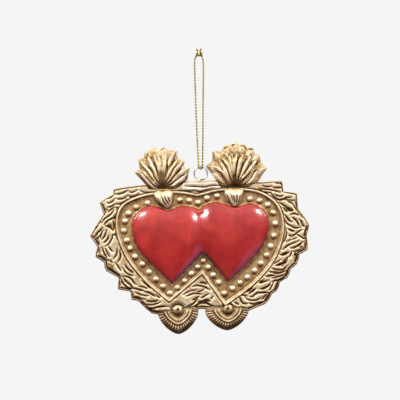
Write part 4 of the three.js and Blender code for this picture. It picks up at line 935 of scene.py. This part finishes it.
for side in HALVES:
    rim = SMALL_HEARTS[side]
    outline = smooth([*rim, rim[0]], 60)
    swell = swollen([outline], 0.2)

    def heart_surface(flat, edge):
        share, off = strokes(flat, drawn(FLUTES[side]))
        cut, crest = bump(share, 0, 1), bump(off, 0.55, 0.32)
        low = smoothstep(-flat[:, 1], -17.0, -14.0)
        height = FIELD_TOP + 0.7 + 2.35 * swell(flat) - 0.5 * cut + 0.1 * crest
        # Darker round the foot and towards the bottom: glaze at the foot, and painted shade that grows downwards.
        tone_and_painted_light = 0.33 - 0.13 * crest + 0.6 * cut + (0.2 + 0.25 * low) * (1 - smoothstep(edge, 0.0, 0.9)) + 0.1 * low
        return height, np.clip(tone_and_painted_light, 0, 1)

    piece = relief(f"fluted_heart_{side}", [outline], FIELD_TOP - 0.6, heart_surface, step=0.2, round_off=0.4)
    piece.data.materials.append(bright_gilt)
    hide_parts(f"small_heart_{side}")
    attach(piece, "ornament")


# --- Shell drops and bosses ----------------------------------------------------------------------------------
# A scallop under each lower tip of the heart, with two ridges slung round a small ball. The rim's flutes are cut
# deep and stay dark, and painted shade darkens the rim along the bottom edge.

BOSS, BOSS_HEIGHT = 2.35, 2.25
SHELL_DEPTH = {"left": 1.0, "right": 1.1}
BOSS_PIT = [(0.0, 0.55), (0.35, 0.5), (0.7, 0.3), (0.95, 0.1)]
BOSS_WALL, BOSS_PUSH = 0.45, 0.8
lifts = np.linspace(1.1, 0, 9)
ball = zip(BOSS * np.cos(lifts), BOSS_WALL + (BOSS_HEIGHT - BOSS_WALL) * np.sin(lifts))
boss_rings = [(out, FIELD_TOP + BOSS_HEIGHT - dip) for out, dip in BOSS_PIT]
boss_rings += [(out, FIELD_TOP + up) for out, up in ball] + [(BOSS, FIELD_TOP)]


def boss_shade(ring, x, y):
    """Dark glaze in the drilled centre, bright round it, with painted shade on the lower side and dark glaze at the
    foot.
    """
    if ring < 4:
        return (0.9, 0.85, 0.8, 0.5)[ring]
    out = math.hypot(x, y)
    # Painted shade on the lower side; dark glaze at the foot.
    return min(1, 0.34 + 0.66 * max(0, 0.1 * out - y) / BOSS + 0.7 * (out > 0.93 * BOSS))


for side in HALVES:
    boss, depth = np.array(BOSSES[side]), SHELL_DEPTH[side]

    def shell_surface(flat, edge):
        across, up = (flat - boss).T
        reach = (np.abs(across) ** SHELL_TAPER + np.abs(up * depth) ** SHELL_TAPER) ** (1 / SHELL_TAPER)
        turn = np.arctan2(up * depth, across)
        lower = 1 - smoothstep(up, -0.8, 0.8)
        ridge = np.maximum(bump(reach, 4.5, 0.5), 1.1 * bump(reach, 6.2, 0.5))
        gully = np.maximum(bump(reach, 5.35, 0.25), bump(reach, 3.0, 0.5))
        groove = bump(reach, 7.1, 0.33)
        flutes = 0.5 + 0.5 * np.cos(turn * 40)
        rim = smoothstep(reach, 7.2, 7.6)
        # Painted shade along the bottom edge, where the shell curves away from the lamps.
        bottom_edge_shade = (1 - smoothstep(edge, 0.9, 3.0)) * smoothstep(-up, 2.0, 7.0)
        height = PLATE + 1.25 + (0.8 * ridge - 0.3 * groove + rim * (0.6 * flutes - 0.35)) * lower
        height = height - 1.0 * (1 - smoothstep(edge, 0.0, 2.6)) * lower
        tone_and_painted_light = 0.38 - 0.16 * ridge * lower + (0.35 * gully + 0.5 * groove) * lower
        tone_and_painted_light += lower * rim * (0.34 - 0.6 * flutes * (1 - bottom_edge_shade) + 0.12 * bottom_edge_shade)
        return np.maximum(height, PLATE + 0.25), np.clip(tone_and_painted_light, 0, 1)

    piece = relief(f"scallop_{side}", [inset(shell_outline[side], 0.15)], PLATE - 0.05, shell_surface, step=0.22,
                   round_off=0.6)
    piece.data.materials.append(carved_gilt)
    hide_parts(f"shell_drop_{side}")
    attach(piece, "ornament")

    points, faces, tone_and_painted_light = dome(boss, boss_rings, 40, boss_shade, lean=BOSS_PUSH)
    rounded = [True] * (len(faces) - 1) + [False]
    piece = mesh_object(f"ball_boss_{side}", stand_up(points), faces, tone_and_painted_light, rounded)
    piece.data.materials.append(bright_gilt)
    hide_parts(f"boss_{side}")
    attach(piece, "ornament")


# --- Hanging eye ---------------------------------------------------------------------------------------------
# A small lug on the top lip, drilled from side to side for the split ring.

EYE_HOLE, EYE_WALL, EYE_BACK, EYE_REACH, EYE_SIDES = 0.65, 0.4, 0.9, 1.75, 48
# Places from side to side, and how far the edges are rounded off there.
EYE_STATIONS = [(-0.6, 0.12), (-0.56, 0.04), (-0.45, 0.0), (0.45, 0.0), (0.56, 0.04), (0.6, 0.12)]
turn = 2 * np.pi * np.arange(EYE_SIDES) / EYE_SIDES
out, up = np.cos(turn), np.sin(turn)
reach = np.minimum(EYE_REACH, (EYE_HOLE + EYE_WALL) / (1 + 0.42 * np.minimum(up, 0)))
reach = np.where(out < 0, np.minimum(reach, EYE_BACK / np.maximum(-out, 1e-6)), reach)
skin = [(x, reach - pull) for x, pull in EYE_STATIONS[::-1]]
skin += [(x, EYE_HOLE + 0.6 * pull) for x, pull in EYE_STATIONS]
points = np.vstack([
    np.column_stack((np.full(EYE_SIDES, EYE_ON_FACE[0] + x), EYE_ON_FACE[1] + up * edge, EYE_DEPTH + out * edge))
    for x, edge in skin
])
faces = bands(len(skin), EYE_SIDES, looped=True)
eye = mesh_object("drilled_lug", stand_up(points), faces, [0.3] * len(points))
eye.data.materials.append(bright_gilt)
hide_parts("hanging_eye")
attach(eye, "ornament")


# --- Jump ring -----------------------------------------------------------------------------------------------
# A split ring of round plated wire, sprung open and closed again through the eye and the cord's loop.

RING, WIRE, RING_DROP = 3.15, 0.7, 55.3
SPLIT, SPLIT_AT = 0.12, -0.75
HOOP_STEPS, WIRE_SIDES = 160, 20


def carried(path, side):
    """Two directions across a path at each of its points, which turn with it and don't twist."""
    ahead = np.gradient(path, axis=0)
    ahead /= np.linalg.norm(ahead, axis=1)[:, None]
    sides = []
    for a in ahead:
        side = side - a * (side @ a)
        side = side / np.linalg.norm(side)
        sides.append(side)
    return np.array(sides), np.cross(ahead, sides)


def tube(path, radius, around):
    """A closed round tube along points, with flat ends: its points and faces."""
    ahead = (path[1] - path[0]) / np.linalg.norm(path[1] - path[0])
    sides, ups = carried(path, np.cross(ahead, (0, 1, 0) if abs(ahead[1]) < 0.9 else (1, 0, 0)))
    angle = np.linspace(0, 2 * np.pi, around, endpoint=False)[:, None]
    points = path[:, None] + radius * (np.cos(angle) * sides[:, None] + np.sin(angle) * ups[:, None])
    points = points.reshape(-1, 3)
    last = len(points) - around
    return points, bands(len(path), around) + [[*range(around)][::-1], [*range(last, len(points))]]


start = SPLIT_AT + SPLIT / 2 / RING
turn = np.linspace(start, start + 2 * math.pi - SPLIT / RING, HOOP_STEPS)
hoop = np.column_stack((RING * np.cos(turn), np.zeros(HOOP_STEPS), RING * np.sin(turn) - RING_DROP)) / 1000
points, faces = tube(hoop, WIRE / 2000, WIRE_SIDES)
# Painted shade on the ring's lower right, where it passes through the lug.
lug_shade = np.repeat(bump(turn, start + 2 * math.pi - 0.55, 0.16), WIRE_SIDES)
ring = mesh_object("split_ring", points, faces, lug_shade, [True] * (len(faces) - 2) + [False, False])


def plated_wire():
    """Nickel plated steel wire, drawn and then plated: a soft grey shine with faint drawing lines, darkened by
    painted shade where the ring passes through the lug.
    """
    finish, tree, place = new_finish("nickel_plated_wire")
    lines = add(tree, "TexNoise", {"Vector": place, "Scale": 1400.0, "Detail": 2.0}).outputs["Fac"]
    colour = ramp(tree, lines, [(0.3, "#a69c80"), (0.7, "#dad2b8")])
    # Painted shade where the ring passes through the lug.
    painted_light = add(tree, "Attribute", attribute_name="tone_and_painted_light").outputs["Fac"]
    colour = add(tree, "Mix", {0: painted_light, 6: colour, 7: linear("#3a2c18")}, data_type="RGBA").outputs[2]
    rough = add(tree, "MapRange", {"Value": lines, "To Min": 0.2, "To Max": 0.38}).outputs[0]
    skin = add(tree, "Bump", {"Height": lines, "Strength": 0.15, "Distance": 0.00005})
    return principled(finish, tree, {
        "Base Color": colour, "Metallic": 1.0, "Roughness": rough, "Normal": skin.outputs[0],
    })


ring.data.materials.append(plated_wire())
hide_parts("jump_ring")
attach(ring, "ring")


# --- Hanging cord and knot -----------------------------------------------------------------------------------
# A thin two-ply cord of gold lurex twisted with dark thread, looped through the ring and tied off in an overhand
# knot where a hook holds it. Its dark flecks at the twist are partly that thread and partly painted shade.

CORD = 1.0
BIGHT = RING - RING_DROP - WIRE / 2 - CORD / 2 - 0.3
CORD_POINTS = [
    (-1.15, 0, 1.0), (-1.75, 0, 0.2), (-2.04, 0, -2.0), (-1.8, -0.1, -20.2), (-1.35, -0.5, -40.0),
    (-1.0, -1.05, -49.4), (-0.92, -1.15, BIGHT + 1.4), (-0.55, -0.8, BIGHT + 0.35), (0.0, 0, BIGHT),
    (0.55, 0.8, BIGHT + 0.35), (0.92, 1.15, BIGHT + 1.4), (1.0, 1.05, -49.4),
    (1.3, 0.5, -40.0), (1.75, 0.1, -20.2), (2.04, 0, -2.0), (1.75, 0, 0.2), (1.15, 0, 1.0),
]
LAY, PLY = 2.9, 0.25


def twisted(path, around=8):
    """A two-ply cord along a path in millimetres: its points, faces and how dark each point is."""
    run = np.r_[0, np.cumsum(np.linalg.norm(np.diff(path, axis=0), axis=1))]
    sides, ups = carried(path, np.array((0.0, 1.0, 0.0)))
    # Dark flecks at the twist: partly the dark thread, partly painted shade in the grooves between the plies.
    flecks = np.repeat(smoothstep(np.sin(4 * np.pi * run / LAY), -0.3, 0.3), around)
    plies = []
    for turned in (0, np.pi):
        phase = (2 * np.pi * run / LAY + turned)[:, None]
        centre = path + PLY * (np.cos(phase) * sides + np.sin(phase) * ups)
        plies.append((*tube(centre / 1000, (CORD / 2 - PLY) / 1000, around), flecks))
    return gathered(plies)


cord_path = smooth(CORD_POINTS, 921, closing=True)
cord = mesh_object("lurex_cord", *twisted(cord_path))


def lurex():
    """Twisted gold lurex with a dark core thread: a pale metal glitter broken by small dark flecks, which are partly
    the dark thread and partly painted shade in the twist.
    """
    finish, tree, place = new_finish("gold_lurex")
    fleck = add(tree, "TexNoise", {"Vector": place, "Scale": 900.0, "Detail": 2.0, "Roughness": 0.7}).outputs["Fac"]
    colour = ramp(tree, fleck, [(0.34, "#bfaa52"), (0.46, "#e8d67e"), (0.58, "#f6e698"), (0.72, "#fff4b4")])
    deep = add(tree, "Attribute", attribute_name="tone_and_painted_light").outputs["Fac"]
    colour = add(tree, "Mix", {0: deep, 6: colour, 7: linear("#2e2a10")}, data_type="RGBA").outputs[2]
    skin = add(tree, "Bump", {"Height": fleck, "Strength": 0.5, "Distance": 0.0001})
    return principled(finish, tree, {
        "Base Color": colour, "Metallic": 0.6, "Roughness": 0.42, "Normal": skin.outputs[0],
    })


thread = lurex()
cord.data.materials.append(thread)
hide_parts("hanging_cord")
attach(cord, "cord")

KNOT_LIFT = 2.0
wraps = np.linspace(0, 1, 150)
spin = wraps * 2 * math.pi * 2.25
coil = np.column_stack((1.45 * np.cos(spin), 0.8 * np.sin(spin), KNOT_LIFT - 0.75 + 1.5 * wraps))
left_tail = [(-1.15, 0, 1.0), (-0.8, 0.1, 1.6), (-0.3, 0, 2.3), (0.35, 0, 3.2), (1.0, 0, 4.1), (1.25, 0, 4.75)]
right_tail = [(-x, -y, z) for x, y, z in left_tail]
tails = [smooth(tail, 48, closing=True) for tail in (left_tail, right_tail)]
knot = mesh_object("overhand_knot", *gathered(twisted(path) for path in (coil, *tails)))
knot.data.materials.append(thread)
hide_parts("cord_knot")
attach(knot, "cord")


# --- Studio --------------------------------------------------------------------------------------------------
# A pale floor well below the ornament, two soft lamps above the camera to the left and right, and a camera level
# with the ornament's middle, a little turned as the photograph's is.

bpy.ops.mesh.primitive_plane_add(size=6, location=(0, 0, -0.9))
floor = bpy.context.object
floor.name = "studio_floor"
floor.visible_glossy = False
paper, tree, place = new_finish("pale_paper")
principled(paper, tree, {"Base Color": linear("#ececec"), "Roughness": 0.9})
floor.data.materials.append(paper)


def lamp(name, place, aim, size, watts, tall=None):
    """A soft area lamp that looks at a place: square, or with a height of its own."""
    light = bpy.data.lights.new(name, "AREA")
    light.energy, light.size = watts, size
    if tall:
        light.shape, light.size_y = "RECTANGLE", tall
    thing = bpy.data.objects.new(name, light)
    bpy.context.scene.collection.objects.link(thing)
    thing.location = place
    thing.rotation_euler = (Vector(aim) - Vector(place)).to_track_quat("-Z", "Y").to_euler()
    return thing


middle = (0, 0, -0.085)
lamp("softbox_left", (-0.32, -0.62, 0.24), middle, 0.16, 2.6, 0.09)
lamp("softbox_right", (0.32, -0.62, 0.24), middle, 0.1, 2.0, 0.1)
lamp("rim_left", (-0.42, -0.12, 0.22), middle, 0.2, 1.1, 0.2)
lamp("rim_right", (0.42, -0.12, 0.22), middle, 0.2, 0.9, 0.2)
lamp("violet_fill", (0.32, -0.38, -0.41), middle, 0.4, 0.3).data.color = (0.6, 0.4, 1.0)
lamp("softbox_top", (-0.1, -0.25, 0.6), middle, 0.3, 6.0).visible_glossy = False

world = bpy.data.worlds.new("soft_room")
bpy.context.scene.world = world
world.use_nodes = True
tree = world.node_tree
tree.nodes.clear()
rise = add(tree, "SeparateXYZ", {0: add(tree, "TexCoord").outputs["Generated"]}).outputs["Z"]
height = add(tree, "MapRange", {"Value": rise, "From Min": -1.0, "From Max": 1.0}).outputs[0]
room = ramp(tree, height, [
    (0.0, "#39303a"), (0.4, "#5c545c"), (0.55, "#a0a0a0"), (0.68, "#b4b4b4"), (0.73, "#ececec"), (1.0, "#f4f4f4"),
])
seen = add(tree, "LightPath").outputs["Is Camera Ray"]
mix = add(tree, "Mix", {0: seen, 6: room, 7: linear("#f5f5f5")}, data_type="RGBA")
sky = add(tree, "Background", {"Color": mix.outputs[2], "Strength": 1.0})
tree.links.new(sky.outputs[0], add(tree, "OutputWorld").inputs[0])
bpy.context.scene.view_settings.view_transform = "Standard"

lens = bpy.data.cameras.new("camera")
lens.lens, lens.sensor_width = 168.75, 36
lens.clip_start, lens.clip_end = 0.01, 20
camera = bpy.data.objects.new("camera", lens)
bpy.context.scene.collection.objects.link(camera)
camera.location = (-0.000585, -0.9, -0.068108)
camera.rotation_euler = (math.radians(90), math.radians(0.9), 0)
bpy.context.scene.camera = camera
